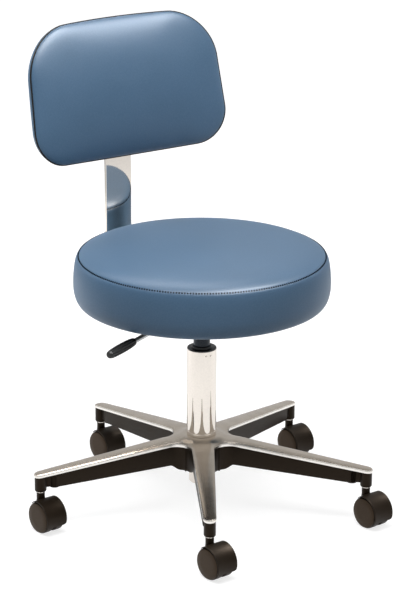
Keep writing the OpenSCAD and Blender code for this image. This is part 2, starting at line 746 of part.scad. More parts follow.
// Barrel grip with lengthwise ribs and rounded ends
module lever_grip() {
    end_r = grip_d / 6;
    r = grip_d / 2;
    grip_x = lever_reach - grip_len;
    color("#151515") lever_frame() translate([grip_x, 0, 0]) rotate([0, 90, 0]) difference() {
        union() {
            rotate_extrude($fn = small) polygon([[0, 0], [r - 2 * end_r, 0], [r - end_r, end_r / 3],
                [r - end_r / 3, grip_len * grip_swell_share], [r - end_r / 4, grip_len / 2],
                [r - end_r / 3, grip_len * (1 - grip_swell_share)],
                [r - end_r, grip_len - end_r / 3], [r - 2 * end_r, grip_len], [0, grip_len]]);
            for (i = [0:grip_ribs - 1]) rotate(360 * share(i, grip_ribs))
                translate([r - end_r / 2, 0, grip_len * rib_end_share])
                    cylinder(d = end_r, h = grip_len * (1 - 2 * rib_end_share), $fn = 16);
        }
        translate([0, 0, -over]) cylinder(r = lever_d / 2 + seat_gap,
            h = grip_len * grip_bore_share + over + seat_gap, $fn = small);
    }
}

// Back bar: flat bar under the seat, bent up behind it and leant back behind the backrest
module bar_ring(radius) difference() {
    circle(r = radius + bar_h / 2, $fn = fine);
    circle(r = radius - bar_h / 2, $fn = fine);
}
module bar_profile() {
    translate([bar_start_y, plate_z - bar_h]) square([bar_y - bend_mid_r - bar_start_y, bar_h]);
    translate([bar_y - bend_mid_r, bar_mid_z + bend_mid_r]) intersection() {
        bar_ring(bend_mid_r);
        translate([0, -2 * bend_mid_r]) square(2 * bend_mid_r);
    }
    translate([bar_y - bar_h / 2, bar_mid_z + bend_mid_r]) square([bar_h, lean_z - bar_mid_z - bend_mid_r]);
    translate([bar_y + lean_r, lean_z]) intersection() {
        bar_ring(lean_r);
        polygon([[0, 0], [-2 * lean_r, 0], [-2 * lean_r * cos(recline), 2 * lean_r * sin(recline)]]);
    }
    translate([upper_y, upper_z]) rotate(-recline) translate([-bar_h / 2, 0]) square([bar_h, upper_len]);
}
module back_bar() {
    color("whitesmoke") at_column() difference() {
        rotate([90, 0, 90]) translate([0, 0, -bar_w / 2]) linear_extrude(bar_w) bar_profile();
        bar_bolt_places() translate([0, 0, plate_z - bar_h - over])
            cylinder(r = bolt_d / 2 + hole_gap, h = bar_h + 2 * over, $fn = small);
        back_holes(screw_d / 2 + hole_gap, rear_h, 2 * bar_h);
    }
}

// Backrest frame: X across, Y from the sitter to the rear, Z up along the leaning pad
module at_back() at_column() translate([0, back_y, back_z]) rotate([-recline, 0, 0]) children();
screw_zs = [low_screw, low_screw + screw_pitch];
module back_holes(radius, from_m, h) translate([0, back_y, back_z]) rotate([-recline, 0, 0])
    for (z = screw_zs) translate([0, from_m, z]) rotate([-90, 0, 0])
        cylinder(r = radius, h = h, $fn = small);
module back_screws() {
    rear = bar_face_m + bar_h / 2;
    color("silver") at_column() {
        back_holes(screw_d / 2, welt_h / 2, rear - welt_h / 2 + over);
        back_holes(screw_d, rear, screw_d / 2);
    }
}

// Outline of the backrest seen from the front, counter-clockwise, drawn in by a given inset
corner_steps = 8;
edge_steps = 6;
function arched(p) = let (v = p[1] / (back_h / 2), u = p[0] / back_low_half)
    [p[0], p[1] + (v > 0 ? top_arch : low_arch) * v * max(0, 1 - u * u)];
function corner(cx, cz, r, a0) = [for (i = [0:corner_steps]) let (a = a0 + 90 * share(i, corner_steps))
    [cx + r * cos(a), cz + r * sin(a)]];
function outline(inset) = let (
    low = corner(back_low_half - back_low_r, back_low_r - back_h / 2, back_low_r - inset, -90),
    top = corner(back_top_half - back_top_r, back_h / 2 - back_top_r, back_top_r - inset, 0),
    top_x = back_top_half - back_top_r,
    low_x = back_low_half - back_low_r,
    over_top = [for (i = [1:edge_steps - 1]) [top_x * (1 - 2 * share(i, edge_steps)), back_h / 2 - inset]],
    under = [for (i = [1:edge_steps - 1]) [low_x * (2 * share(i, edge_steps) - 1), inset - back_h / 2]])
    [for (p = concat(low, top, over_top, mirrored(top), mirrored(low), under)) arched(p)];
function mirrored(ps) = [for (i = [len(ps) - 1:-1:0]) [-ps[i][0], ps[i][1]]];

// One ring of a pad: the outline drawn in, scaled, set back by m and bent round the sitter
function pad_ring(inset, scale, m) = [for (p = outline(inset))
    [p[0] * scale, m - wrap_sag * pow(p[0] * scale / back_low_half, 2), p[1] * scale]];
core_scales = [0.06, 0.3, 0.55, 0.8];
pad_edge_steps = 5;

// Rings of a pad's crown, from its middle to its edge, h high with the edge's own share of it
function crown_rings_of(side, from_m, h, edge_share) = concat(
    [for (s = core_scales) pad_ring(0, s, from_m + side * h * (1 - (1 - edge_share) * pow(s, 2)))],
    [for (i = [0:pad_edge_steps]) let (a = 90 * share(i, pad_edge_steps))
        pad_ring(0, 1 - edge_in_share * (1 - sin(a)), from_m + side * h * edge_share * cos(a))]);
function reversed(v) = [for (i = [len(v) - 1:-1:0]) v[i]];

module back_cushion() {
    face_m = -welt_h / 2 - free_gap;
    color("steelblue") at_back() skin(concat(crown_rings_of(-1, face_m, front_h, front_edge_share),
        [for (s = reversed(core_scales)) pad_ring(0, s, face_m)]));
}
module back_shell() {
    face_m = welt_h / 2 + free_gap;
    floor_m = board_m + back_board_h + 2 * free_gap;
    inset = back_board_in - free_gap;
    color("steelblue") at_column() difference() {
        translate([0, back_y, back_z]) rotate([-recline, 0, 0]) skin(concat(
            [for (s = core_scales) pad_ring(inset, s, floor_m)],
            [pad_ring(inset, 1, floor_m), pad_ring(inset, 1, face_m)],
            reversed(crown_rings_of(1, face_m, rear_h - face_m, rear_edge_share))));
        back_holes(screw_d / 2 + hole_gap, 0, 2 * rear_h);
    }
}
board_m = free_gap - welt_h / 2;
module back_board() {
    color("burlywood") at_column() difference() {
        translate([0, back_y, back_z]) rotate([-recline, 0, 0]) skin(concat(
            [for (s = core_scales) pad_ring(back_board_in, s, board_m)],
            [pad_ring(back_board_in, 1, board_m), pad_ring(back_board_in, 1, board_m + back_board_h)],
            [for (s = reversed(core_scales)) pad_ring(back_board_in, s, board_m + back_board_h)]));
        back_holes(screw_d / 2 + seat_gap, welt_h / 2 - seat_gap, back_board_h + rear_h);
    }
}
module back_welt() {
    color("#16120f") at_back() skin_loop([
        pad_ring(back_board_in / 2, 1, -welt_h / 2), pad_ring(-welt_out / 2, 1, -welt_h / 2),
        pad_ring(-welt_out, 1, 0), pad_ring(-welt_out / 2, 1, welt_h / 2),
        pad_ring(back_board_in / 2, 1, welt_h / 2)]);
}

// Caster frame: Z on the stem, X towards the wheels, floor at zero
wheel_r = wheel_d / 2;
wheel_in = web_h / 2 + free_gap;
module at_caster(i) at_column() rotate(base_turn + i * arm_step) translate([arm_reach, 0, 0])
    rotate(caster_turn - base_turn - i * arm_step) children();
module at_axle() translate([trail, 0, wheel_r]) rotate([90, 0, 0]) children();
neck_top_z = socket_z - sleeve_flange_h - free_gap;
stem_low_z = wheel_r + hood_r - free_gap;
module caster_stem(i) {
    chamfer = stem_d / 8;
    top_z = socket_z + sleeve_h - sleeve_wall - free_gap;
    color("silver") at_caster(i) {
        translate([0, 0, stem_low_z]) cylinder(d = stem_d, h = top_z - chamfer - stem_low_z, $fn = small);
        translate([0, 0, top_z - chamfer])
            cylinder(d1 = stem_d, d2 = stem_d - 2 * chamfer, h = chamfer, $fn = small);
    }
}

// Hood: shell over both wheels, the web between them, the axle boss and the neck
neck_low_z = wheel_r + hood_r * sin(hood_back);
module caster_hood(i) {
    inner = hood_r - hood_wall;
    turn = 180 + hood_front - hood_back;
    color("#2a2623") at_caster(i) difference() {
        union() {
            at_axle() rotate(-hood_front) rotate_extrude(angle = turn, $fn = fine)
                translate([axle_d, -hood_w / 2]) square([hood_r - axle_d, hood_w]);
            at_axle() cylinder(d = 3 * axle_d, h = web_h, center = true, $fn = small);
            translate([0, 0, neck_low_z]) cylinder(d = neck_d, h = neck_top_z - neck_low_z, $fn = small);
        }
        for (s = [-1, 1]) at_axle() translate([0, 0, s * (web_h + hood_w) / 2])
            cylinder(r = inner, h = hood_w, center = true, $fn = fine);
        at_axle() cylinder(r = axle_d / 2 + seat_gap, h = 2 * web_h, center = true, $fn = small);
        translate([0, 0, stem_low_z - seat_gap])
            cylinder(r = stem_d / 2 + seat_gap, h = neck_top_z - stem_low_z + over, $fn = small);
    }
}
module caster_axle(i) {
    color("silver") at_caster(i) at_axle()
        cylinder(d = axle_d, h = 2 * (wheel_in + wheel_w * axle_in_share), center = true, $fn = small);
}

// Wheel: rounded tread, dished side disc, blind bore for the axle
module wheel(i, side) {
    round_r = wheel_w / 8;
    color("#33302c") at_caster(i) at_axle() scale([1, 1, side]) translate([0, 0, wheel_in]) difference() {
        rotate_extrude($fn = fine) polygon([[0, 0], [wheel_r - round_r, 0], [wheel_r, round_r],
            [wheel_r, wheel_w - round_r], [wheel_r - round_r, wheel_w], [wheel_r - 2 * round_r, wheel_w],
            [wheel_r - round_r * 5 / 2, wheel_w - round_r / 2], [0, wheel_w - round_r / 2]]);
        translate([0, 0, -over])
            cylinder(r = axle_d / 2 + run_gap, h = wheel_w * axle_in_share + run_gap + over, $fn = small);
    }
}

base_cap();
base_frame();
stem_sleeves();
column_tube();
guide_bush();
thrust_bearing();
piston_rod();
rod_clip();
gas_cylinder();
cylinder_gland();
release_pin();
seat_plate();
plate_bolts();
seat_board();
seat_cushion();
dust_cover();
lever_rod();
lever_grip();
lever_pin();
back_bar();
bar_bolts();
back_screws();
back_board();
back_shell();
back_welt();
back_cushion();
for (i = [0:arm_count - 1]) {
    caster_stem(i);
    caster_hood(i);
    caster_axle(i);
    wheel(i, 1);
    wheel(i, -1);
}
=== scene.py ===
import math

import bmesh
import bpy
from mathutils import Euler, Matrix, Vector


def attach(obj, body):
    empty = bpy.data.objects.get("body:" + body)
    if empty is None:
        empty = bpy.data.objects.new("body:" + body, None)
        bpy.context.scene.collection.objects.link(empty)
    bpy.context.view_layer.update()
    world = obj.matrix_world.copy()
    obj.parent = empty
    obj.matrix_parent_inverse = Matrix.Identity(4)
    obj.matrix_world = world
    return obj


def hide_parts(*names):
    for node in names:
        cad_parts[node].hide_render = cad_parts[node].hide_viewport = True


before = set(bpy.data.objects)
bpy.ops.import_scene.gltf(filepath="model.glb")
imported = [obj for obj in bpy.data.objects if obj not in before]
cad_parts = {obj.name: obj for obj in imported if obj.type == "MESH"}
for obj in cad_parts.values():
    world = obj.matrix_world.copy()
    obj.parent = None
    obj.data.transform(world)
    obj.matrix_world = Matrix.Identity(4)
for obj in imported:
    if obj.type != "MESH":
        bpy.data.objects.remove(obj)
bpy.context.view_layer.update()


# Base frame: one black glass-filled nylon moulding, pressed up into the polished cap. Its five arms are
# channels, open below and ribbed inside, that leave a round barrel and end in the caster sockets.
# Lengths are in millimetres, but for the column's place in the shared frame, which is in metres.
COLUMN = Vector((0.0063, -0.0014, 0.0))
STEP = math.radians(72)
ARM_TURNS = [math.radians(-120.5) + STEP * i for i in range(5)]
ARM_REACH = 286
HUB_HALF = 18.5
TIP_HALF = 10.75
FILLET_R = 26.5
FILLET_C = (HUB_HALF + FILLET_R) / math.sin(STEP / 2)
HUB_EDGE = FILLET_C * math.cos(STEP / 2)
EDGE_Z, EDGE_FALL = 120, 27
UNDER_Z, UNDER_FALL = 86, 13
HUB_DIP, DIP_START_R, DIP_RUN = 9, 64, 14
SPIGOT_R = 21.3
FRAME_STEP = 1.5
FRAME_WALL = 3
RIBS = (97.6, 168.7, 215)
RIB_HALF = 1
BOSS_X = 261.65
BOSS_R = 8.5
WEB_HALF, WEB_LOW, WEB_TOP = 4.2, 73, 94
BARREL_R = 31
BARREL_LOW, BARREL_TOP = 76, 119.9
TIP_STEPS, SIDE_STEPS, FILLET_STEPS = 8, 14, 16
HUB_START = TIP_STEPS + SIDE_STEPS + FILLET_STEPS // 2 + 1
HUB_END = HUB_START + FILLET_STEPS


def linear(code):
    """sRGB hex to the linear colour that a socket takes."""
    parts = [int(code[i:i + 2], 16) / 255 for i in (1, 3, 5)]
    return [c / 12.92 if c <= 0.04045 else ((c + 0.055) / 1.055) ** 2.4 for c in parts] + [1]


def add(tree, kind, sockets=None, **settings):
    """Adds a shader node with its settings, and with values or links on its sockets."""
    new = tree.nodes.new("ShaderNode" + kind)
    for name, value in settings.items():
        setattr(new, name, value)
    for name, value in (sockets or {}).items():
        if isinstance(value, bpy.types.NodeSocket):
            tree.links.new(value, new.inputs[name])
        else:
            new.inputs[name].default_value = value
    return new


def finish_of(name):
    """A new material, its node tree, and the place on the object that its patterns are drawn by."""
    made = bpy.data.materials.new(name)
    made.use_nodes = True
    made.node_tree.nodes.clear()
    return made, made.node_tree, add(made.node_tree, "TexCoord").outputs["Object"]


def surface(tree, sockets):
    """Ends a material in one Principled shader."""
    shader = add(tree, "BsdfPrincipled", sockets)
    add(tree, "OutputMaterial", {"Surface": shader.outputs["BSDF"]})


def put(name, data):
    """Puts a mesh, a lamp or the camera into the scene."""
    obj = bpy.data.objects.new(name, data)
    bpy.context.scene.collection.objects.link(obj)
    return obj


def mesh_of(name, bm):
    """The mesh of a shape drawn in millimetres about the column's axis."""
    bmesh.ops.scale(bm, vec=(0.001, 0.001, 0.001), verts=bm.verts)
    bmesh.ops.translate(bm, vec=COLUMN, verts=bm.verts)
    mesh = bpy.data.meshes.new(name)
    bm.to_mesh(mesh)
    bm.free()
    return mesh


def piece(name, bm, finishes, body, slot, *nodes, smooth=32):
    """Makes an object of a drawn shape and hangs it on its body. Bends sharper than smooth stay crisp."""
    bmesh.ops.remove_doubles(bm, verts=bm.verts, dist=0.005)
    bmesh.ops.delete(bm, geom=[e for e in bm.edges if e.is_wire], context="EDGES")
    bmesh.ops.recalc_face_normals(bm, faces=bm.faces)
    mesh = mesh_of(name, bm)
    mesh.shade_smooth()
    mesh.set_sharp_from_angle(angle=math.radians(smooth))
    for finish in finishes:
        mesh.materials.append(finish)
    obj = put(name, mesh)
    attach(obj, body)
    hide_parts(*nodes)
    return obj


def within(t):
    return min(1, max(0, t))


def ramp(t):
    """From 0 to 1, with a soft start and end."""
    return within(t) ** 2 * (3 - 2 * within(t))


def quarter(steps):
    """The angles of a quarter turn."""
    return [math.radians(90) * i / steps for i in range(steps + 1)]


def eased(points):
    """Rounds those corners of a profile that are given as (radius, height, rounding)."""
    out = []
    for i, p in enumerate(points):
        here = Vector(p[:2])
        if len(p) == 2:
            out.append(here)
            continue
        before, after = Vector(points[i - 1][:2]) - here, Vector(points[i + 1][:2]) - here
        a = here + before.normalized() * min(p[2], before.length / 2)
        b = here + after.normalized() * min(p[2], after.length / 2)
        out += [a.lerp(here, s).lerp(here.lerp(b, s), s) for s in (0, 0.25, 0.5, 0.75, 1)]
    return out


def lathe(bm, points, at=Matrix.Identity(4), steps=64):
    """Turns a profile of (radius, height) once round the Z axis of at, and returns the new vertices."""
    known = set(bm.verts)
    verts = [bm.verts.new(at @ Vector((p[0], 0, p[1]))) for p in eased(points)]
    edges = [bm.edges.new(pair) for pair in zip(verts, verts[1:])]
    bmesh.ops.spin(bm, geom=verts + edges, cent=at.translation, axis=at.to_3x3() @ Vector((0, 0, 1)),
                   angle=2 * math.pi, steps=steps, use_merge=True)
    return [v for v in bm.verts if v not in known]


def block(bm, low, high, at, ease=0.6):
    """A moulded rib or web: a box between two corners with its edges eased."""
    size, middle = Vector(high) - Vector(low), (Vector(high) + Vector(low)) / 2
    made = bmesh.ops.create_cube(bm, size=1)["verts"]
    bmesh.ops.scale(bm, vec=size, verts=made)
    bmesh.ops.translate(bm, vec=middle, verts=made)
    bmesh.ops.transform(bm, matrix=at, verts=made)
    edges = list({e for v in made for e in v.link_edges})
    bmesh.ops.bevel(bm, geom=edges, offset=ease, segments=2, profile=0.5, affect="EDGES", material=-1)


def arm_half(r):
    """Half the width of an arm of the cap, r from the column."""
    return HUB_HALF + (TIP_HALF - HUB_HALF) * (r - HUB_EDGE) / (ARM_REACH - HUB_EDGE)


def out_along(p):
    """Distance from the column of a point between two arms, measured along the nearer arm."""
    return max(p.x, p.x * math.cos(STEP) + p.y * math.sin(STEP))


def edge_z(p):
    """Height of the line where the cap meets the frame: level at the hub, falling to the casters."""
    return EDGE_Z - EDGE_FALL * max(0, (out_along(p) - HUB_EDGE) / (ARM_REACH - HUB_EDGE))


def under_z(r):
    """Height of the frame's lower edge, r from the column along an arm."""
    return UNDER_Z - UNDER_FALL * (r - HUB_EDGE) / (BOSS_X - HUB_EDGE)


def star_lines(inset, end_x, end_r, core_r):
    """From one arm's end to the next: points on the edge, drawn in by inset, each with the point that the
    surface runs to, down the middle of the arms and round the hub."""
    half = []
    for a in quarter(TIP_STEPS):
        half.append((Vector((end_x + end_r * math.cos(a), end_r * math.sin(a))), Vector((end_x, 0))))
    for i in range(SIDE_STEPS + 1):
        r = end_x + (HUB_EDGE - end_x) * i / SIDE_STEPS
        half.append((Vector((r, arm_half(r) - inset)), Vector((r, 0))))
    mid = FILLET_STEPS // 2
    for i in range(1, FILLET_STEPS + 1):
        a = math.radians(-90) - (math.radians(90) - STEP / 2) * i / FILLET_STEPS
        swing = (FILLET_R + inset) * Vector((math.cos(a), math.sin(a)))
        out = Vector((HUB_EDGE, HUB_HALF + FILLET_R)) + swing
        b = STEP / 2 * max(0, i - mid) / mid
        core = core_r * Vector((math.cos(b), math.sin(b)))
        if i < mid:
            core = Vector((HUB_EDGE + (core_r - HUB_EDGE) * i / mid, 0))
        half.append((out, core))
    middle = Vector((math.cos(STEP / 2), math.sin(STEP / 2)))
    return half + [tuple(2 * p.dot(middle) * middle - p for p in pair) for pair in reversed(half[:-1])]


def star(bm, rows, middle_rows, painted_highlight_rows=()):
    """Lays a closed band of rows over each fifth of the base. Over the arms, the middle rows meet those of
    the next fifth and need no face. The rows of painted highlight take the second, paler finish."""
    across, around = len(rows[0]) - 1, len(rows)
    for turn in ARM_TURNS:
        made = bmesh.ops.create_grid(bm, x_segments=across, y_segments=around, size=1)["verts"]
        at = {v: (round((v.co.x + 1) / 2 * across), round((v.co.y + 1) / 2 * around)) for v in made}
        unwanted = []
        for face in {f for v in made for f in v.link_faces}:
            i, j = [at[v][0] for v in face.verts], [at[v][1] for v in face.verts]
            over_arm = max(i) <= HUB_START or min(i) >= HUB_END
            if over_arm and min(j) >= middle_rows[0] and max(j) <= middle_rows[1]:
                unwanted.append(face)
            elif painted_highlight_rows and min(j) >= painted_highlight_rows[0] and max(j) <= painted_highlight_rows[1]:
                face.material_index = 1
        bmesh.ops.delete(bm, geom=unwanted, context="FACES_ONLY")
        for v, (i, j) in at.items():
            v.co = Matrix.Rotation(turn, 3, "Z") @ rows[j % around][i]


# Nylon, injection moulded and glass filled: a warm near-black with a soft shine and the fine spark-eroded
# grain of the tool. The real grain is 0.3 mm, drawn at 0.9 mm so that it shows.
nylon, tree, place = finish_of("nylon_moulded_black")
grain = add(tree, "TexNoise", {"Vector": place, "Scale": 1000 / 0.9, "Detail": 3.0}).outputs["Fac"]
flow = add(tree, "TexNoise", {"Vector": place, "Scale": 1000 / 38, "Detail": 2.0}).outputs["Fac"]
tint = add(tree, "MixRGB", {"Fac": flow, "Color1": linear("#0E0A06"), "Color2": linear("#1F170F")})
shine = add(tree, "MapRange", {"Value": flow, "To Min": 0.34, "To Max": 0.5})
bump = add(tree, "Bump", {"Height": grain, "Strength": 0.18, "Distance": 0.0003})
surface(tree, {"Base Color": tint.outputs["Color"], "Roughness": shine.outputs["Result"],
               "Normal": bump.outputs["Normal"], "IOR": 1.53, "Specular IOR Level": 0.24,
               "Specular Tint": linear("#EBD2BA")})

outer = star_lines(FRAME_STEP, BOSS_X, BOSS_R, BARREL_R - 1)
inner = star_lines(FRAME_STEP + FRAME_WALL, BOSS_X, BOSS_R - FRAME_WALL, BARREL_R - 1)
under = [under_z(out_along(p)) - HUB_DIP * ramp((DIP_START_R - p.length) / DIP_RUN) for p, _ in outer]
rows = [[Vector((*core, edge_z(core))) for _, core in outer],
        [Vector((*p, edge_z(p))) for p, _ in outer],
        [Vector((*p, edge_z(p) - 2)) for p, _ in outer]]
for share, rise in ((0, 1), (0.1, 0.25), (0.3, 0), (0.75, 0), (1, 0.7)):
    rows.append([Vector((*p.lerp(q, share), z + rise)) for (p, _), (q, _), z in zip(outer, inner, under)])
rows += [[Vector((*p, edge_z(p) - FRAME_WALL)) for p, _ in inner],
         [Vector((*core, edge_z(core) - FRAME_WALL)) for _, core in inner]]
bm = bmesh.new()
star(bm, rows, (len(rows) - 1, len(rows)))
lathe(bm, [(SPIGOT_R, BARREL_LOW + 1), (SPIGOT_R + 1, BARREL_LOW), (BARREL_R, BARREL_LOW, 2),
           (BARREL_R, BARREL_TOP), (SPIGOT_R, BARREL_TOP), (SPIGOT_R, BARREL_LOW + 1)])
SOCKET = [(0, 93.5), (9.85, 93.5), (9.85, 68.2, 0.8), (8.6, 66.5, 0.6), (6.97, 66.5), (6.97, 87.2),
          (0, 87.2), (0, 93.5)]
BOSS = [(0, 96), (BOSS_R, 96), (BOSS_R, 71.5, 1), (0, 71.5)]
POST = [(0, BARREL_TOP), (1.5, BARREL_TOP), (1.5, 77.5, 0.7), (0, 77.5)]
POST_X = FILLET_C - FILLET_R - 1.9
for turn in ARM_TURNS:
    arm = Matrix.Rotation(turn, 4, "Z")
    lathe(bm, SOCKET, arm @ Matrix.Translation((ARM_REACH, 0, 0)), 40)
    lathe(bm, BOSS, arm @ Matrix.Translation((BOSS_X, 0, 0)), 32)
    block(bm, (BOSS_X, -WEB_HALF, WEB_LOW), (ARM_REACH - 7.5, WEB_HALF, WEB_TOP), arm)
    for x in RIBS:
        half = arm_half(x) - FRAME_STEP - FRAME_WALL / 2
        block(bm, (x - RIB_HALF, -half, under_z(x) + 3),
              (x + RIB_HALF, half, edge_z(Vector((x, 0))) - 1), arm, 0.4)
    between = Matrix.Rotation(turn + STEP / 2, 4, "Z")
    lathe(bm, POST, between @ Matrix.Translation((POST_X, 0, 0)), 16)
piece("frame_moulding", bm, [nylon], "base", "black_nylon", "base_frame")


# Base cap: an aluminium die casting that covers the frame like a shell. Its top is polished and a little
# soft in its reflections. The rim below it is buffed, and a fine groove parts the two. The rim's metal is
# a paler copy of the top's, a painted highlight for the bright line of light along it.
RIM = [(3.0, 0.0), (0.6, 0.0), (0.15, 0.25), (0.0, 0.8), (0.0, 3.8), (1.5, 3.8), (1.5, 4.7), (0.7, 4.7),
       (0.7, 5.1)]
RIM_HIGH = RIM[-1][1]
CROWN = (0.8, 0.7, 0.58, 0.44, 0.3, 0.15, 0.0)
CROWN_SLOPE = 0.11
COLLAR_R = 26.3
COLLAR_TOP = 131
COLLAR_START_R, COLLAR_RUN = 46, 18


def cast_metal(name, bright, dull, low, high):
    """Aluminium, die cast and polished: one tint that drifts with the casting's grain, reflections blurred
    by the last polishing grit, and a faint waviness of some 25 mm left by the wheel."""
    made, tree, place = finish_of(name)
    wheel = add(tree, "TexNoise", {"Vector": place, "Scale": 1000 / 25, "Detail": 1.0}).outputs["Fac"]
    grit = add(tree, "TexNoise", {"Vector": place, "Scale": 1000 / 1.2, "Detail": 4.0}).outputs["Fac"]
    tint = add(tree, "MixRGB", {"Fac": wheel, "Color1": linear(dull), "Color2": linear(bright)})
    blur = add(tree, "MapRange", {"Value": grit, "To Min": low, "To Max": high})
    waves = add(tree, "Bump", {"Height": wheel, "Strength": 0.15, "Distance": 0.0006})
    bump = add(tree, "Bump", {"Height": grit, "Strength": 0.03, "Distance": 0.0002,
                              "Normal": waves.outputs["Normal"]})
    surface(tree, {"Base Color": tint.outputs["Color"], "Roughness": blur.outputs["Result"],
                   "Metallic": 1.0, "Normal": bump.outputs["Normal"]})
    return made


polished = cast_metal("aluminium_cast_polished", "#DCD2C5", "#C6BBAD", 0.14, 0.25)
# The rim's metal: a paler copy of the top's, painted highlight for the bright line of light along the rim
buffed_painted_highlight = cast_metal("aluminium_cast_buffed_painted_highlight", "#F4F1ED", "#E6E2DC", 0.2, 0.28)

edge = star_lines(0, ARM_REACH, TIP_HALF, COLLAR_R)
rows = []
for inset, rise in RIM:
    drawn_in = star_lines(inset, ARM_REACH, TIP_HALF - inset, COLLAR_R)
    rows.append([Vector((*q, edge_z(p) + rise)) for (p, _), (q, _) in zip(edge, drawn_in)])
for t in CROWN:
    row = []
    for p, core in edge:
        q = core.lerp(p, t)
        z = edge_z(core) + (edge_z(p) - edge_z(core)) * t + RIM_HIGH
        z += CROWN_SLOPE * (p - core).length * (1 - t * t)
        row.append(Vector((*q, z + (COLLAR_TOP - z) * ramp((COLLAR_START_R - q.length) / COLLAR_RUN))))
    rows.append(row)
for radius, height in ((COLLAR_R - 0.5, COLLAR_TOP), (SPIGOT_R, COLLAR_TOP), (SPIGOT_R, EDGE_Z - 0.05)):
    row = []
    for i, (_, core) in enumerate(edge):
        if HUB_START <= i <= HUB_END:
            row.append(Vector((*(core.normalized() * radius), height)))
        elif height == COLLAR_TOP:
            row.append(rows[-1][i].copy())
        else:
            row.append(Vector((*core, edge_z(core))))
    rows.append(row)
bm = bmesh.new()
crown_end = len(RIM) + len(CROWN) - 1
# The rim's rows take the paler metal, which is painted highlight
star(bm, rows, (crown_end, crown_end + 3), (1, len(RIM) - 1))
piece("cap_casting", bm, [polished, buffed_painted_highlight], "base", "cap_aluminium", "base_cap")


# Column: a chrome-plated steel tube whose shoulder stands on the cap's collar. Its lower end is drawn
# smaller, goes through the hub and is closed. Two staked dimples under the mouth hold the guide bush.
TUBE_R = 25
TUBE_WALL = 2
TUBE_TOP = 284.5
TUBE_FOOT, FOOT_WALL = 45, 3
ROD_HOLE_R = 5.05
DIMPLE_TURNS = (-106.5, -87.5)
DIMPLE_R, DIMPLE_DOWN = 1.5, 7

# Chrome, plated over polished steel: mirror-bright with a faint warm tint, and a waviness of some 18 mm
# from the drawn tube that bends the reflections a little
chrome, tree, place = finish_of("chrome_plated_steel")
draw = add(tree, "Mapping", {"Vector": place, "Scale": (1, 1, 0.12)}).outputs["Vector"]
waves = add(tree, "TexNoise", {"Vector": draw, "Scale": 1000 / 18, "Detail": 1.0}).outputs["Fac"]
haze = add(tree, "TexNoise", {"Vector": place, "Scale": 1000 / 3, "Detail": 3.0}).outputs["Fac"]
tint = add(tree, "MixRGB", {"Fac": haze, "Color1": linear("#E2DBD3"), "Color2": linear("#EEE7DF")})
blur = add(tree, "MapRange", {"Value": haze, "To Min": 0.015, "To Max": 0.06})
bump = add(tree, "Bump", {"Height": waves, "Strength": 0.2, "Distance": 0.0004})
surface(tree, {"Base Color": tint.outputs["Color"], "Roughness": blur.outputs["Result"],
               "Metallic": 1.0, "Normal": bump.outputs["Normal"]})

bm = bmesh.new()
lathe(bm, [(ROD_HOLE_R, TUBE_FOOT), (SPIGOT_R, TUBE_FOOT, 4), (SPIGOT_R, COLLAR_TOP - 0.1),
           (TUBE_R, COLLAR_TOP, 0.8), (TUBE_R, TUBE_TOP, 0.7), (TUBE_R - TUBE_WALL, TUBE_TOP, 0.5),
           (TUBE_R - TUBE_WALL, COLLAR_TOP + TUBE_WALL, 1.5),
           (SPIGOT_R - TUBE_WALL, COLLAR_TOP + TUBE_WALL, 1),
           (SPIGOT_R - TUBE_WALL, TUBE_FOOT + FOOT_WALL, 2),
           (ROD_HOLE_R, TUBE_FOOT + FOOT_WALL), (ROD_HOLE_R, TUBE_FOOT)], steps=96)
column = piece("column", bm, [chrome], "base", "chrome", "column_tube")
bm = bmesh.new()
for turn in DIMPLE_TURNS:
    at = Matrix.Rotation(math.radians(turn), 4, "Z") \
        @ Matrix.Translation((TUBE_R + 0.1, 0, TUBE_TOP - DIMPLE_DOWN))
    bmesh.ops.create_uvsphere(bm, u_segments=16, v_segments=10, radius=DIMPLE_R, matrix=at)
cutter = put("dimple_punch", mesh_of("dimple_punch", bm))
punch = column.modifiers.new("dimples", "BOOLEAN")
punch.object = cutter
bpy.context.view_layer.update()
punched = bpy.data.meshes.new_from_object(column.evaluated_get(bpy.context.evaluated_depsgraph_get()))
column.modifiers.clear()
column.data = punched
bpy.data.objects.remove(cutter)


# Guide bush: black acetal, pushed into the tube's mouth. Its flange covers the tube's end and its collar
# wipes the gas cylinder.
BUSH_BORE = 14.05
BUSH_FOOT = 226.5
FLANGE_TOP = TUBE_TOP + 1.6

# Acetal, turned and injection moulded: dense black with a waxy, even shine
acetal, tree, place = finish_of("acetal_moulded_black")
wax = add(tree, "TexNoise", {"Vector": place, "Scale": 1000 / 6, "Detail": 3.0}).outputs["Fac"]
tint = add(tree, "MixRGB", {"Fac": wax, "Color1": linear("#101114"), "Color2": linear("#1B1E24")})
shine = add(tree, "MapRange", {"Value": wax, "To Min": 0.24, "To Max": 0.36})
surface(tree, {"Base Color": tint.outputs["Color"], "Roughness": shine.outputs["Result"], "IOR": 1.48})

bm = bmesh.new()
lathe(bm, [(BUSH_BORE, BUSH_FOOT), (22.98, BUSH_FOOT, 0.6), (22.98, TUBE_TOP), (24.5, TUBE_TOP),
           (24.5, FLANGE_TOP, 0.6), (17.2, FLANGE_TOP, 0.4), (16.4, FLANGE_TOP + 4, 0.8),
           (14.9, FLANGE_TOP + 4, 0.4), (BUSH_BORE, 289.2), (BUSH_BORE, BUSH_FOOT)], steps=80)
piece("bush", bm, [acetal], "base", "black_acetal", "guide_bush")


# Gas cylinder: a drawn steel tube that slides in the bush, painted black and rolled to a taper at its top,
# where the seat's socket grips it.
CYLINDER_FOOT, CYLINDER_TOP = 82, 350

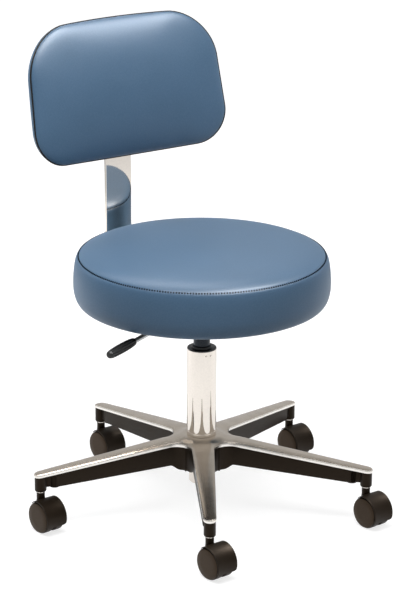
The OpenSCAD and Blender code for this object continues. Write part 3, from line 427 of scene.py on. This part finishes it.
# Enamel, sprayed on steel and baked: a blue-black with a soft gloss and a very faint orange peel of 1.5 mm
enamel, tree, place = finish_of("enamel_baked_black")
peel = add(tree, "TexNoise", {"Vector": place, "Scale": 1000 / 1.5, "Detail": 1.0}).outputs["Fac"]
tint = add(tree, "MixRGB", {"Fac": peel, "Color1": linear("#101D2C"), "Color2": linear("#172839")})
bump = add(tree, "Bump", {"Height": peel, "Strength": 0.08, "Distance": 0.0001})
shine = add(tree, "MapRange", {"Value": peel, "To Min": 0.24, "To Max": 0.34})
surface(tree, {"Base Color": tint.outputs["Color"], "Roughness": shine.outputs["Result"],
               "Normal": bump.outputs["Normal"], "IOR": 1.5, "Specular IOR Level": 0.3})

bm = bmesh.new()
lathe(bm, [(12, CYLINDER_FOOT), (14, CYLINDER_FOOT, 1.2), (14, 322, 1), (13.2, 322.6),
           (12.5, CYLINDER_TOP, 0.6), (3.55, CYLINDER_TOP), (3.55, 315), (12, 315), (12, CYLINDER_FOOT)])
piece("lift_cylinder", bm, [enamel], "seat", "black_lacquer", "gas_cylinder")


# Steel works inside the column and under the seat: rod, bearing, clip, gland, pin, bolts and the pressed
# plate. They are turned or pressed parts that the CAD already has whole, so only their finish is new.

# Steel, turned or pressed and zinc plated: pale grey with a soft spangle of some 2 mm and fine tool marks
zinc, tree, place = finish_of("steel_zinc_plated")
spangle = add(tree, "TexVoronoi", {"Vector": place, "Scale": 1000 / 2}).outputs["Distance"]
marks = add(tree, "TexNoise", {"Vector": place, "Scale": 1000 / 0.7, "Detail": 4.0}).outputs["Fac"]
tint = add(tree, "MixRGB", {"Fac": spangle, "Color1": linear("#A9ADB0"), "Color2": linear("#C9CBCB")})
blur = add(tree, "MapRange", {"Value": marks, "To Min": 0.3, "To Max": 0.5})
bump = add(tree, "Bump", {"Height": marks, "Strength": 0.06, "Distance": 0.0001})
surface(tree, {"Base Color": tint.outputs["Color"], "Roughness": blur.outputs["Result"],
               "Metallic": 1.0, "Normal": bump.outputs["Normal"]})

# Steel, pressed and powder coated: matt black-grey with the fine orange peel of the powder, 1.2 mm
powder, tree, place = finish_of("steel_powder_coated")
peel = add(tree, "TexNoise", {"Vector": place, "Scale": 1000 / 1.2, "Detail": 2.0}).outputs["Fac"]
tint = add(tree, "MixRGB", {"Fac": peel, "Color1": linear("#1D1D1F"), "Color2": linear("#29292B")})
bump = add(tree, "Bump", {"Height": peel, "Strength": 0.25, "Distance": 0.0002})
shine = add(tree, "MapRange", {"Value": peel, "To Min": 0.42, "To Max": 0.58})
surface(tree, {"Base Color": tint.outputs["Color"], "Roughness": shine.outputs["Result"],
               "Normal": bump.outputs["Normal"]})


def dress(finish, *names):
    """Gives CAD nodes their finish."""
    for name in names:
        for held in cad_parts[name].material_slots:
            held.material = finish


dress(zinc, "thrust_bearing", "piston_rod", "rod_clip", "release_pin", "plate_bolts", "bar_bolts",
      "lever_pin", "lever_rod")
dress(powder, "seat_plate")
dress(acetal, "cylinder_gland")
dress(chrome, "stem_sleeves")


# Lever grip: a black rubber-like vinyl sleeve pushed on the plated rod, swelling in the middle, with twelve
# moulded ribs along it and a rounded end.
LEVER_TURN, LEVER_DROOP = math.radians(-160.5), math.radians(5.1)
LEVER_Z = 362
LEVER = Matrix.Rotation(LEVER_TURN, 4, "Z") @ Matrix.Translation((0, 0, LEVER_Z)) \
    @ Matrix.Rotation(LEVER_DROOP, 4, "Y")
GRIP_START = 182
GRIP_LEN = 66
GRIP_BORE, GRIP_HOLE = 4.02, 49.5
GRIP_RIBS, RIB_HIGH = 12, 1.2

# Soft vinyl, dip moulded: black, matt and a little rubbery, with a fine skin of 0.8 mm
soft_grip, tree, place = finish_of("vinyl_moulded_grip")
skin = add(tree, "TexNoise", {"Vector": place, "Scale": 1000 / 0.8, "Detail": 3.0}).outputs["Fac"]
tint = add(tree, "MixRGB", {"Fac": skin, "Color1": linear("#0D0D0D"), "Color2": linear("#1A1918")})
bump = add(tree, "Bump", {"Height": skin, "Strength": 0.2, "Distance": 0.0002})
surface(tree, {"Base Color": tint.outputs["Color"], "Roughness": 0.42, "Normal": bump.outputs["Normal"]})

bm = bmesh.new()
along_x = LEVER @ Matrix.Translation((GRIP_START, 0, 0)) @ Matrix.Rotation(math.radians(90), 4, "Y")
profile = [(GRIP_BORE, GRIP_HOLE), (GRIP_BORE, 0), (5.6, 0, 0.8), (6.5, 2, 1), (6.6, 8), (6.7, 9)]
profile += [(6.75 + 0.7 * math.sin(math.pi * i / 12), 9 + 4 * i) for i in range(1, 12)]
profile += [(6.7, 57), (6.6, 58), (6.5, 62, 2), (4.6, GRIP_LEN - 0.4, 1.2), (0, GRIP_LEN), (0, GRIP_HOLE),
            (GRIP_BORE, GRIP_HOLE)]
lathe(bm, profile, along_x, 96)
back = along_x.inverted()
for v in bm.verts:
    p = back @ v.co
    radius = math.hypot(p.x, p.y)
    if radius > 6 and 4 < p.z < 63:
        fade = min(1, (p.z - 4) / 4, (63 - p.z) / 5)
        wave = max(0, math.cos(GRIP_RIBS * math.atan2(p.y, p.x))) ** 0.7
        p.xy *= (radius + fade * RIB_HIGH * (wave - 0.5)) / radius
        v.co = along_x @ p
piece("grip", bm, [soft_grip], "lever", "black_nylon", "lever_grip", smooth=50)


# Seat board and dust cover: a round of birch plywood under the foam, and the black non-woven cloth stapled
# over it, both seen only from below. The board's bolts come up through them.

# Plywood, birch, sanded and unfinished: pale yellow-brown with long grain lines 3 mm apart
plywood, tree, place = finish_of("plywood_birch_sanded")
long_grain = add(tree, "Mapping", {"Vector": place, "Scale": (1, 0.05, 1)}).outputs["Vector"]
lines = add(tree, "TexNoise", {"Vector": long_grain, "Scale": 1000 / 3, "Detail": 4.0}).outputs["Fac"]
tint = add(tree, "MixRGB", {"Fac": lines, "Color1": linear("#C29C68"), "Color2": linear("#DEC394")})
bump = add(tree, "Bump", {"Height": lines, "Strength": 0.1, "Distance": 0.0002})
surface(tree, {"Base Color": tint.outputs["Color"], "Roughness": 0.7, "Normal": bump.outputs["Normal"]})

# Polypropylene cloth, non-woven and calendered: dull black with a grid of bonding points 2 mm apart
cambric, tree, place = finish_of("polypropylene_nonwoven")
points = add(tree, "TexVoronoi", {"Vector": place, "Scale": 1000 / 2, "Randomness": 0.15})
points = points.outputs["Distance"]
tint = add(tree, "MixRGB", {"Fac": points, "Color1": linear("#0C0C0D"), "Color2": linear("#232325")})
bump = add(tree, "Bump", {"Height": points, "Strength": 0.4, "Distance": 0.0003})
surface(tree, {"Base Color": tint.outputs["Color"], "Roughness": 0.85, "Normal": bump.outputs["Normal"]})

dress(plywood, "seat_board", "back_board")
dress(cambric, "dust_cover")


# Seat: blue leathercloth over foam on the board. A round top panel is sewn to a side band with a row of
# dark stitches, and the band is pulled in under the board. The foam swells against the cover.
SEAT_R = 214.2
SEAT_TOP, SEAM_Z, WIDEST_Z, SEAT_LOW = 462, 447, 400, 370
SEAM_R = 205.9
TUCK_R = 12.2
BOARD_R, BOARD_TOP, BOARD_LOW = 196, 383.6, 371.7
HEM_R = 176


def leathercloth(name, deep, light, worn):
    """Vinyl leathercloth, calendered and embossed on a knit back: a soft sheen over a fine pebble grain.
    The real pebbles are 0.8 mm, drawn at 1.4 mm, and the colour drifts over some 70 mm where it is handled,
    with pale flecks of 2.2 mm."""
    made, tree, place = finish_of(name)
    pebble = add(tree, "TexVoronoi", {"Vector": place, "Scale": 1000 / 1.4}).outputs["Distance"]
    drift = add(tree, "TexNoise", {"Vector": place, "Scale": 1000 / 70, "Detail": 2.0}).outputs["Fac"]
    fleck = add(tree, "TexNoise", {"Vector": place, "Scale": 1000 / 2.2, "Detail": 2.0}).outputs["Fac"]
    even = add(tree, "MixRGB", {"Fac": drift, "Color1": linear(deep), "Color2": linear(light)})
    spots = add(tree, "MapRange", {"Value": fleck, "From Min": 0.35, "From Max": 0.75, "To Max": 0.14})
    tint = add(tree, "MixRGB", {"Fac": spots.outputs["Result"], "Color1": even.outputs["Color"],
                                "Color2": linear(worn)})
    shine = add(tree, "MapRange", {"Value": drift, "To Min": 0.37, "To Max": 0.44})
    bump = add(tree, "Bump", {"Height": pebble, "Strength": 0.2, "Distance": 0.00012})
    surface(tree, {"Base Color": tint.outputs["Color"], "Roughness": shine.outputs["Result"],
                   "Normal": bump.outputs["Normal"], "IOR": 1.42})
    return made


blue_vinyl = leathercloth("vinyl_leathercloth_blue", "#456480", "#4E6D8B", "#6F8AA4")
SWELL_FRAMES = 20


def swell(obj, held, pressure, most):
    """Lets the foam press against the cover: a cloth under pressure from inside, held where it is sewn or
    pulled round the board. The result is evened out, and scaled as a whole so that no point moves more
    than most, in metres."""
    rest = [v.co.copy() for v in obj.data.vertices]
    group = obj.vertex_groups.new(name="held")
    for i, p in enumerate(rest):
        group.add([i], held(p), "REPLACE")
    cloth = obj.modifiers.new("swell", "CLOTH")
    cloth.settings.quality = 6
    cloth.settings.use_pressure = True
    cloth.settings.uniform_pressure_force = pressure
    cloth.settings.effector_weights.gravity = 0
    cloth.settings.vertex_group_mass = "held"
    cloth.settings.tension_stiffness = cloth.settings.compression_stiffness = 12
    cloth.point_cache.frame_end = SWELL_FRAMES
    even = obj.modifiers.new("even", "CORRECTIVE_SMOOTH")
    even.iterations = 400
    for i in range(1, SWELL_FRAMES + 1):
        bpy.context.scene.frame_set(i)
    moved = [v.co.copy() for v in obj.evaluated_get(bpy.context.evaluated_depsgraph_get()).data.vertices]
    obj.modifiers.clear()
    obj.vertex_groups.clear()
    bpy.context.scene.frame_set(1)
    share = min(1, most / max((b - a).length for a, b in zip(rest, moved)))
    for v, a, b in zip(obj.data.vertices, rest, moved):
        v.co = a.lerp(b, share)
    obj.data.update()


under = [(0, BOARD_TOP), (BOARD_R, BOARD_TOP), (BOARD_R, BOARD_LOW), (HEM_R, BOARD_LOW),
         (HEM_R, SEAT_LOW + 0.2), (BOARD_R, SEAT_LOW)]
tuck = [(SEAT_R - TUCK_R * (1 - math.sin(a)), WIDEST_Z - (WIDEST_Z - SEAT_LOW) * math.cos(a))
        for a in quarter(12)[1:-1]]
band = [(SEAM_R + (SEAT_R - SEAM_R) * math.cos(a), WIDEST_Z + (SEAM_Z - WIDEST_Z) * math.sin(a))
        for a in quarter(16)[:-2]]
seam = [(SEAM_R + out, SEAM_Z - down)
        for out, down in ((2.1, 5), (2.3, 2.8), (1.8, 1.4), (0.8, 0.5), (-0.6, 0.1))]
crown = []
for i in range(25):
    share = (SEAM_R - 1.5) * (1 - (i / 24) ** 1.25) / SEAM_R
    crown.append((share * SEAM_R, SEAT_TOP - 3 * share ** 2 - 6.5 * share ** 8 - 5 * share ** 24))
bm = bmesh.new()
lathe(bm, under + tuck + band + seam + crown, steps=160)
seat = piece("seat_pad", bm, [blue_vinyl], "seat", "blue_vinyl", "seat_cushion", smooth=50)


def seat_held(p):
    """Held under the board and at the seam, free on the crown and the band."""
    r, z = (p - COLUMN).xy.length * 1000, p.z * 1000
    near_seam = math.hypot(r - SEAM_R, z - SEAM_Z) / 9
    return 1 - within(near_seam - 0.3) * within((z - 376) / 14)


swell(seat, seat_held, 3.0, 0.0025)

# Thread, bonded polyester: near-black and matt, its 0.6 mm twist drawn as a change of tone
thread, tree, place = finish_of("polyester_thread")
twist = add(tree, "TexNoise", {"Vector": place, "Scale": 1000 / 0.6}).outputs["Fac"]
tint = add(tree, "MixRGB", {"Fac": twist, "Color1": linear("#141C24"), "Color2": linear("#26313C")})
surface(tree, {"Base Color": tint.outputs["Color"], "Roughness": 0.8, "Specular IOR Level": 0.1})

bm = bmesh.new()
STITCHES = 286
STITCH = [(0, 0), (1.1, 0.3), (1.45, 1.3), (1.1, 2.3), (0, 2.6)]
for i in range(STITCHES):
    at = Matrix.Rotation(2 * math.pi * i / STITCHES, 4, "Z") \
        @ Matrix.Translation((SEAM_R - 0.7, 0, SEAM_Z + 0.7)) \
        @ Matrix.Rotation(math.radians(90), 4, "X") @ Matrix.Translation((0, 0, -STITCH[-1][1] / 2))
    lathe(bm, STITCH, at, 6)
piece("seat_stitches", bm, [thread], "seat", "blue_vinyl", smooth=80)


# Back bar: a flat steel bar, chrome plated, bolted under the seat plate, bent up behind the seat and leant
# back behind the backrest.
BAR_HALF, BAR_HALF_THICK = 25.4, 3.2
BAR_START = 46
BAR_Y = 266
BAR_MID_Z = 363.4
BEND_R = 27.2
LEAN = math.radians(12.5)
EASY_R = 1023
EASY_LOW = 500
bm = bmesh.new()
ends = [bm.verts.new((x * BAR_HALF, BAR_START, BAR_MID_Z + z * BAR_HALF_THICK))
        for x, z in ((-1, -1), (1, -1), (1, 1), (-1, 1))]
bm.faces.new(ends)
bmesh.ops.bevel(bm, geom=ends, offset=1.1, segments=3, profile=0.5, affect="VERTICES", material=-1)


def draw_bar(geom, way):
    """Draws the bar's end face out along a straight way, and returns the new end."""
    made = bmesh.ops.extrude_face_region(bm, geom=geom)["geom"]
    bmesh.ops.translate(bm, vec=way, verts=[g for g in made if isinstance(g, bmesh.types.BMVert)])
    bmesh.ops.delete(bm, geom=[g for g in geom if isinstance(g, bmesh.types.BMFace)], context="FACES_ONLY")
    return [g for g in made if isinstance(g, bmesh.types.BMFace)]


def bend_bar(geom, centre, angle, steps):
    """Bends it round a line across the bar, and returns the new end."""
    made = bmesh.ops.spin(bm, geom=geom, cent=centre, axis=(1, 0, 0), angle=angle, steps=steps)["geom_last"]
    bmesh.ops.delete(bm, geom=[g for g in geom if isinstance(g, bmesh.types.BMFace)], context="FACES_ONLY")
    return [g for g in made if isinstance(g, bmesh.types.BMFace)]


start = list(bm.faces)
bmesh.ops.duplicate(bm, geom=start)
end = draw_bar(start, (0, BAR_Y - BEND_R - BAR_START, 0))
end = bend_bar(end, (0, BAR_Y - BEND_R, BAR_MID_Z + BEND_R), math.radians(90), 14)
end = draw_bar(end, (0, 0, EASY_LOW - BAR_MID_Z - BEND_R))
end = bend_bar(end, (0, BAR_Y + EASY_R, EASY_LOW), -LEAN, 24)
end = draw_bar(end, (0, 6 * math.sin(LEAN), 6 * math.cos(LEAN)))
piece("bar", bm, [chrome], "seat", "chrome", "back_bar")


# Backrest: a plywood board between two padded covers of the same leathercloth, a deep one in front and a
# thinner shell behind, with a narrow black welt sewn in all round. It curves a little round the sitter.
BACK_Y, BACK_Z = 251.8, 679
BACK_AT = Matrix.Translation((0, BACK_Y, BACK_Z)) @ Matrix.Rotation(-LEAN, 4, "X")
BACK_LOW_HALF, BACK_TOP_HALF, BACK_HALF_H = 188, 184, 112
BACK_LOW_R, BACK_TOP_R = 57, 84
LOW_BOW, TOP_BOW = 2.5, 9
BACK_WRAP = 21


def back_outline():
    """Half the outline from the middle of the lower edge to the middle of the upper one, then its mirror,
    with both edges bowed outwards."""
    low_x, low_z = BACK_LOW_HALF - BACK_LOW_R, BACK_LOW_R - BACK_HALF_H
    top_x, top_z = BACK_TOP_HALF - BACK_TOP_R, BACK_HALF_H - BACK_TOP_R
    half = [(low_x * i / 8, -BACK_HALF_H) for i in range(8)]
    half += [(low_x + BACK_LOW_R * math.sin(a), low_z - BACK_LOW_R * math.cos(a)) for a in quarter(14)]
    half += [(BACK_LOW_HALF + (BACK_TOP_HALF - BACK_LOW_HALF) * s, low_z + (top_z - low_z) * s)
             for s in (0.25, 0.5, 0.75)]
    half += [(top_x + BACK_TOP_R * math.cos(a), top_z + BACK_TOP_R * math.sin(a)) for a in quarter(16)]
    half += [(top_x * (1 - i / 7), BACK_HALF_H) for i in range(1, 8)]
    bowed = []
    for x, z in half + [(-x, z) for x, z in reversed(half[1:-1])]:
        bow = (TOP_BOW if z > 0 else LOW_BOW) * z / BACK_HALF_H
        bowed.append((x, z + bow * max(0, 1 - (x / BACK_LOW_HALF) ** 2)))
    return bowed


def curved(x, z, m):
    """A point of the backrest, m behind its sewn edge at the middle."""
    return BACK_AT @ Vector((x, m - BACK_WRAP * (x / BACK_LOW_HALF) ** 2, z))


def pad(bm, levels, closed=True, lift=0):
    """Draws the outline on, level by level: each has its scale and its depth. The inner ones are more and
    more like an ellipse, as in a stuffed cover, and may sit higher."""
    outline = back_outline()

    def laid(x, z, scale, depth):
        keep = min(1, scale ** 4)
        scale *= keep + (1 - keep) * 0.98 / math.hypot(x / BACK_LOW_HALF, z / BACK_HALF_H)
        return curved(x * scale, z * scale + lift * (1 - keep ** 0.5), depth)

    ring = [bm.verts.new(laid(x, z, *levels[0])) for x, z in outline]
    for i in range(len(ring)):
        bm.edges.new((ring[i - 1], ring[i]))
    if closed:
        bm.faces.new(ring)
    for scale, depth in levels[1:]:
        edges = [bm.edges.get((ring[i - 1], ring[i])) for i in range(len(ring))]
        made = bmesh.ops.extrude_edge_only(bm, edges=edges)["geom"]
        fresh = {g for g in made if isinstance(g, bmesh.types.BMVert)}
        ring = [next(e.other_vert(v) for e in v.link_edges if e.other_vert(v) in fresh) for v in ring]
        for v, (x, z) in zip(ring, outline):
            v.co = laid(x, z, scale, depth)
    if closed:
        bm.faces.new(ring)


PAD_GAP = 1.8
BACK_BOARD_REAR = 8.2
FRONT_DEEP = 30
DOME = (0.994, 0.99, 0.985, 0.977, 0.965, 0.945, 0.92, 0.89, 0.85, 0.8, 0.74, 0.66, 0.57, 0.47, 0.36, 0.25,
        0.14, 0.05)
front_levels = [(u, -PAD_GAP) for u in (0.15, 0.5, 0.85, 0.985)] + [(0.998, -1.9), (1.0, -2.6)]
front_levels += [(u, -PAD_GAP - FRONT_DEEP * (1 - u ** 2.3) ** 0.56) for u in DOME]
bm = bmesh.new()
pad(bm, front_levels, lift=12)
front = piece("back_pad", bm, [blue_vinyl], "seat", "blue_vinyl", "back_cushion", smooth=60)
REAR_DEEP = 23.2
rear_levels = [(u, BACK_BOARD_REAR) for u in (0.15, 0.5, 0.9)] + [(0.93, 8.0), (0.935, PAD_GAP)]
rear_levels += [(1 - 0.11 * (1 - math.sin(a) ** 0.6), PAD_GAP + REAR_DEEP * 0.84 * math.cos(a) ** 0.6)
                for a in reversed(quarter(12))]
rear_levels += [(u, PAD_GAP + REAR_DEEP * (1 - 0.2 * u * u))
                for u in (0.8, 0.7, 0.6, 0.5, 0.4, 0.29, 0.18, 0.06)]
bm = bmesh.new()
pad(bm, rear_levels)
rear = piece("back_cover", bm, [blue_vinyl], "seat", "blue_vinyl", "back_shell", smooth=60)


def from_edge(p):
    """How far a point is from the back's middle line, and how far behind the sewn edge, in millimetres."""
    q = BACK_AT.inverted() @ ((p - COLUMN) * 1000)
    return abs(q.x), q.y + BACK_WRAP * (q.x / BACK_LOW_HALF) ** 2


def front_held(p):
    """Held at the welt and on the board, free in front."""
    _, behind = from_edge(p)
    return 1 - within((-behind - PAD_GAP - 2) / 10)


def rear_held(p):
    """Held at the welt and where the bar is screwed up against it, free elsewhere."""
    aside, behind = from_edge(p)
    return 1 - within((behind - PAD_GAP - 8) / 8) * within((aside - 30) / 30)


swell(front, front_held, 3.0, 0.002)
swell(rear, rear_held, 2.0, 0.0015)

# Welt piping: black vinyl rolled over a cord, smooth and half glossy
piping, tree, place = finish_of("vinyl_piping_black")
skin = add(tree, "TexNoise", {"Vector": place, "Scale": 1000 / 4, "Detail": 2.0}).outputs["Fac"]
tint = add(tree, "MixRGB", {"Fac": skin, "Color1": linear("#060504"), "Color2": linear("#0F0D0B")})
surface(tree, {"Base Color": tint.outputs["Color"], "Roughness": 0.5, "Specular IOR Level": 0.25})

WELT_R = 1.6
BACK_MEAN_R = 150
bm = bmesh.new()
pad(bm, [(1 + (WELT_R * math.cos(a) + 0.4) / BACK_MEAN_R, WELT_R * math.sin(a))
         for a in [2 * math.pi * k / 10 for k in range(11)]], closed=False)
piece("welt", bm, [piping], "seat", "black_piping", "back_welt", smooth=80)


# Backrest screws: zinc-plated machine screws that hold the board against the bar. Their low domed heads sit
# on the bar's rear face.
SCREW = [(0, -24), (2.5, -24, 0.5), (2.5, 0), (5, 0), (5, 1.2, 0.8), (3.4, 2.4, 0.8), (1.7, 2.5),
         (1.5, 1.2), (0, 1.2)]
BAR_REAR = 31.7
bm = bmesh.new()
for z in (-17.5, 26.5):
    at = BACK_AT @ Matrix.Translation((0, BAR_REAR, z)) @ Matrix.Rotation(math.radians(-90), 4, "X")
    lathe(bm, SCREW, at, 32)
piece("screws", bm, [zinc], "seat", "plated_steel", "back_screws")


# Casters: a black nylon hood in one piece with its web and neck over two nylon wheels that turn on a steel
# axle. The stem is pressed into the neck and turns in the sleeve of the arm's socket.
TRAIL = 15.5
AXLE_Z = 27
WHEEL_R = 27
HOOD_R = 30.2
HOOD_HALF = 20
HOOD_FRONT = math.radians(-22)
HOOD_SWEEP = math.radians(150)
SIDE_FLAT = 15
NECK_FOOT = 46
HEADING = math.radians(-83.5)
HOOD_SECTION = [(HOOD_R, 0), (HOOD_R, 17.9), (HOOD_R + 0.1, 18.3), (HOOD_R + 0.1, 19.4),
                (HOOD_R - 0.3, HOOD_HALF), (HOOD_R - 1.6, HOOD_HALF), (HOOD_R - 2, 19.6),
                (HOOD_R - 2, 16.5), (HOOD_R - 2, 3.8), (HOOD_R - 2.8, 3), (9, 3), (9, 0)]
HOOD_SECTION += [(r, -h) for r, h in reversed(HOOD_SECTION[1:-1])]
NECK = [(5.52, 53.1), (5.52, 64.8), (7, 64.8, 0.6), (7, 52, 2), (7.6, 49), (7.6, 0), (0, 0), (0, 53.1),
        (5.52, 53.1)]
WHEEL = [(3.05, 3.3), (15, 3.3), (16, 4.2), (22, 4.2), (23, 3.3), (26, 3.3), (WHEEL_R, 4.3, 1),
         (WHEEL_R, 15.6, 1.2), (25.7, 17.2), (25.3, 17.8), (25.2, 18.5, 0.4), (24.4, 18.9), (14, 19.0),
         (0, 19.1), (0, 14.2), (3.05, 14.2), (3.05, 3.3)]

# Nylon, moulded for the wheels: browner and a little duller than the hood, scuffed where it rolls. The
# grit marks are 2 mm long.
wheel_nylon, tree, place = finish_of("nylon_moulded_wheel")
scuff = add(tree, "TexNoise", {"Vector": place, "Scale": 1000 / 2, "Detail": 4.0}).outputs["Fac"]
tint = add(tree, "MixRGB", {"Fac": scuff, "Color1": linear("#2E2318"), "Color2": linear("#46382A")})
shine = add(tree, "MapRange", {"Value": scuff, "To Min": 0.36, "To Max": 0.55})
bump = add(tree, "Bump", {"Height": scuff, "Strength": 0.12, "Distance": 0.0002})
surface(tree, {"Base Color": tint.outputs["Color"], "Roughness": shine.outputs["Result"],
               "Normal": bump.outputs["Normal"], "Specular IOR Level": 0.3,
               "Specular Tint": linear("#EBD2BA")})

for n, turn in enumerate(ARM_TURNS, 1):
    stem = Matrix.Rotation(turn, 4, "Z") @ Matrix.Translation((ARM_REACH, 0, 0)) \
        @ Matrix.Rotation(HEADING - turn, 4, "Z")
    axle = stem @ Matrix.Translation((TRAIL, 0, AXLE_Z)) @ Matrix.Rotation(math.radians(90), 4, "X")

    bm = bmesh.new()
    ring = [bm.verts.new((r * math.cos(HOOD_FRONT), r * math.sin(HOOD_FRONT), h)) for r, h in HOOD_SECTION]
    face = bm.faces.new(ring)
    bmesh.ops.spin(bm, geom=[face] + list(face.edges) + ring, cent=(0, 0, 0), axis=(0, 0, 1),
                   angle=HOOD_SWEEP, steps=40)
    # The sides round off towards both ends, and the tail tapers
    for v in bm.verts:
        along = (math.atan2(v.co.y, v.co.x) - HOOD_FRONT) / HOOD_SWEEP
        end = max(0, 1 - along / 0.05, 1 - (1 - along) / 0.07)
        beyond = abs(v.co.z) - SIDE_FLAT
        if beyond > 0:
            v.co.z = math.copysign(SIDE_FLAT + beyond * math.sqrt(max(0.02, 1 - end * end)), v.co.z)
        tail = max(0, 1 - (1 - along) / 0.3) ** 2
        taper = 0.07 if v.co.xy.length > HOOD_R - 1 else 0.02
        if abs(v.co.z) > 16.8:
            taper += 0.045
        if v.co.xy.length > 20:
            v.co.xy *= 1 - taper * tail
    bmesh.ops.transform(bm, matrix=axle, verts=bm.verts)
    lathe(bm, [(3.02, -3), (9, -3, 0.5), (9, 3, 0.5), (3.02, 3), (3.02, -3)], axle, 40)
    # The neck's foot follows the round of the hood
    inside = stem.inverted()
    for v in lathe(bm, NECK, stem, 40):
        p = inside @ v.co
        if p.z < 10:
            p.z = max(NECK_FOOT, AXLE_Z + math.sqrt((HOOD_R - 1) ** 2 - (TRAIL - p.x) ** 2))
            v.co = stem @ p
    piece(f"hood_{n}", bm, [nylon], f"caster_{n}", "black_nylon", f"caster_hood_{n}")

    hub_line = axle.inverted()
    for side, word in ((1, "left"), (-1, "right")):
        bm = bmesh.new()
        lathe(bm, WHEEL, axle @ Matrix.Scale(side, 4, (0, 0, 1)), 56)
        for face in bm.faces:
            middle = hub_line @ face.calc_center_median()
            face.material_index = int(middle.xy.length > 25.15 or abs(middle.z) < 14)
        piece(f"wheel_{word}_of_{n}", bm, [wheel_nylon, nylon], f"wheel_{word}_{n}", "wheel_nylon",
              f"wheel_{word}_{n}")
    dress(zinc, f"caster_stem_{n}", f"caster_axle_{n}")


# Studio: a pale floor that keeps the stool's shadow and is white to the camera, and pale walls for the
# metal. A large soft light hangs overhead, two more give the covers their sheen at the top of the back and
# along the seat's front edge, and two weak strips light the sides.
white, tree, place = finish_of("paper_backdrop")
path = add(tree, "LightPath").outputs
seen = add(tree, "Math", {0: path["Is Camera Ray"], 1: path["Is Transmission Ray"]}, operation="MAXIMUM")
away = add(tree, "VectorMath", {0: place}, operation="LENGTH").outputs["Value"]
far = add(tree, "MapRange", {"Value": away, "From Min": 0.6, "From Max": 3.0, "To Min": 0.76,
                             "To Max": 1.0})
behind = add(tree, "VectorMath", {0: place, 1: (0.548, 0.836, 0)}, operation="DOT_PRODUCT").outputs["Value"]
shade = add(tree, "MapRange", {"Value": behind, "From Min": 0.3, "From Max": 1.2, "To Min": 0.66,
                               "To Max": 0.3})
glow = add(tree, "MapRange", {"Value": path["Is Glossy Ray"], "To Max": shade.outputs["Result"]})
glow = add(tree, "MapRange", {"Value": seen.outputs["Value"], "To Min": glow.outputs["Result"],
                              "To Max": far.outputs["Result"]})
surface(tree, {"Base Color": linear("#AAAAAA"), "Roughness": 1.0, "Specular IOR Level": 0.0,
               "Emission Color": (1, 1, 1, 1), "Emission Strength": glow.outputs["Result"]})
floor_mesh = bpy.data.meshes.new("floor")
bm = bmesh.new()
bmesh.ops.create_grid(bm, x_segments=2, y_segments=2, size=30)
bm.to_mesh(floor_mesh)
bm.free()
floor_mesh.materials.append(white)
floor = put("floor", floor_mesh)

bpy.context.scene.view_settings.view_transform = "Standard"
world = bpy.data.worlds.new("studio")
bpy.context.scene.world = world
world.use_nodes = True
tree = world.node_tree
tree.nodes.clear()
path = add(tree, "LightPath").outputs
seen = add(tree, "Math", {0: path["Is Camera Ray"], 1: path["Is Transmission Ray"]}, operation="MAXIMUM")
height = add(tree, "SeparateXYZ", {"Vector": add(tree, "TexCoord").outputs["Generated"]}).outputs["Z"]
dome = add(tree, "MapRange", {"Value": height, "From Min": 0.0, "From Max": 0.9, "To Min": 0.14,
                              "To Max": 0.2})
walls = add(tree, "MapRange", {"Value": height, "From Min": 0.45, "From Max": 0.9, "To Min": 0.54,
                               "To Max": 0.14})
level = add(tree, "MapRange", {"Value": path["Is Glossy Ray"], "To Min": dome.outputs["Result"],
                               "To Max": walls.outputs["Result"]})
level = add(tree, "MapRange", {"Value": seen.outputs["Value"], "To Min": level.outputs["Result"],
                               "To Max": 1.0})
sky = add(tree, "Background", {"Color": (1, 1, 1, 1), "Strength": level.outputs["Result"]})
add(tree, "OutputWorld", {"Surface": sky.outputs["Background"]})


def lamp(name, size, power, at, towards, diffuse=True, glossy=True):
    """A rectangular soft light, that may be left out of the matt or of the glossy reflections."""
    light = bpy.data.lights.new(name, "AREA")
    light.shape = "RECTANGLE"
    light.size, light.size_y = size
    light.energy = power
    obj = put(name, light)
    obj.visible_diffuse, obj.visible_glossy = diffuse, glossy
    obj.location = at
    obj.rotation_euler = (Vector(at) - Vector(towards)).to_track_quat("Z", "Y").to_euler()


lamp("key_softbox", (2.0, 0.9), 53, (-0.45, -0.62, 2.5), (0, 0, 0.6))
lamp("side_softbox", (1.4, 0.9), 97, (0.58, -0.55, 2.4), (0, 0.2, 0.7), diffuse=False)
lamp("rear_softbox", (1.7, 1.0), 27, (0.24, 1.28, 2.3), (0, 0, 0.45), diffuse=False)
lamp("left_strip", (0.9, 0.9), 28, (-0.7, 1.75, 0.7), (0, 0, 0.5), glossy=False)
lamp("right_strip", (0.9, 0.9), 16, (1.88, 0.22, 0.7), (0, 0, 0.5), glossy=False)

camera_data = bpy.data.cameras.new("camera")
camera_data.sensor_width = 36
camera_data.lens = 156.5
camera = put("camera", camera_data)
camera.matrix_world = Matrix.Translation((-2.2863, -3.4916, 1.7645)) \
    @ Euler((math.radians(71.43), 0, math.radians(-33.3))).to_matrix().to_4x4() \
    @ Matrix.Rotation(math.radians(0.24), 4, "Z")
bpy.context.scene.camera = camera
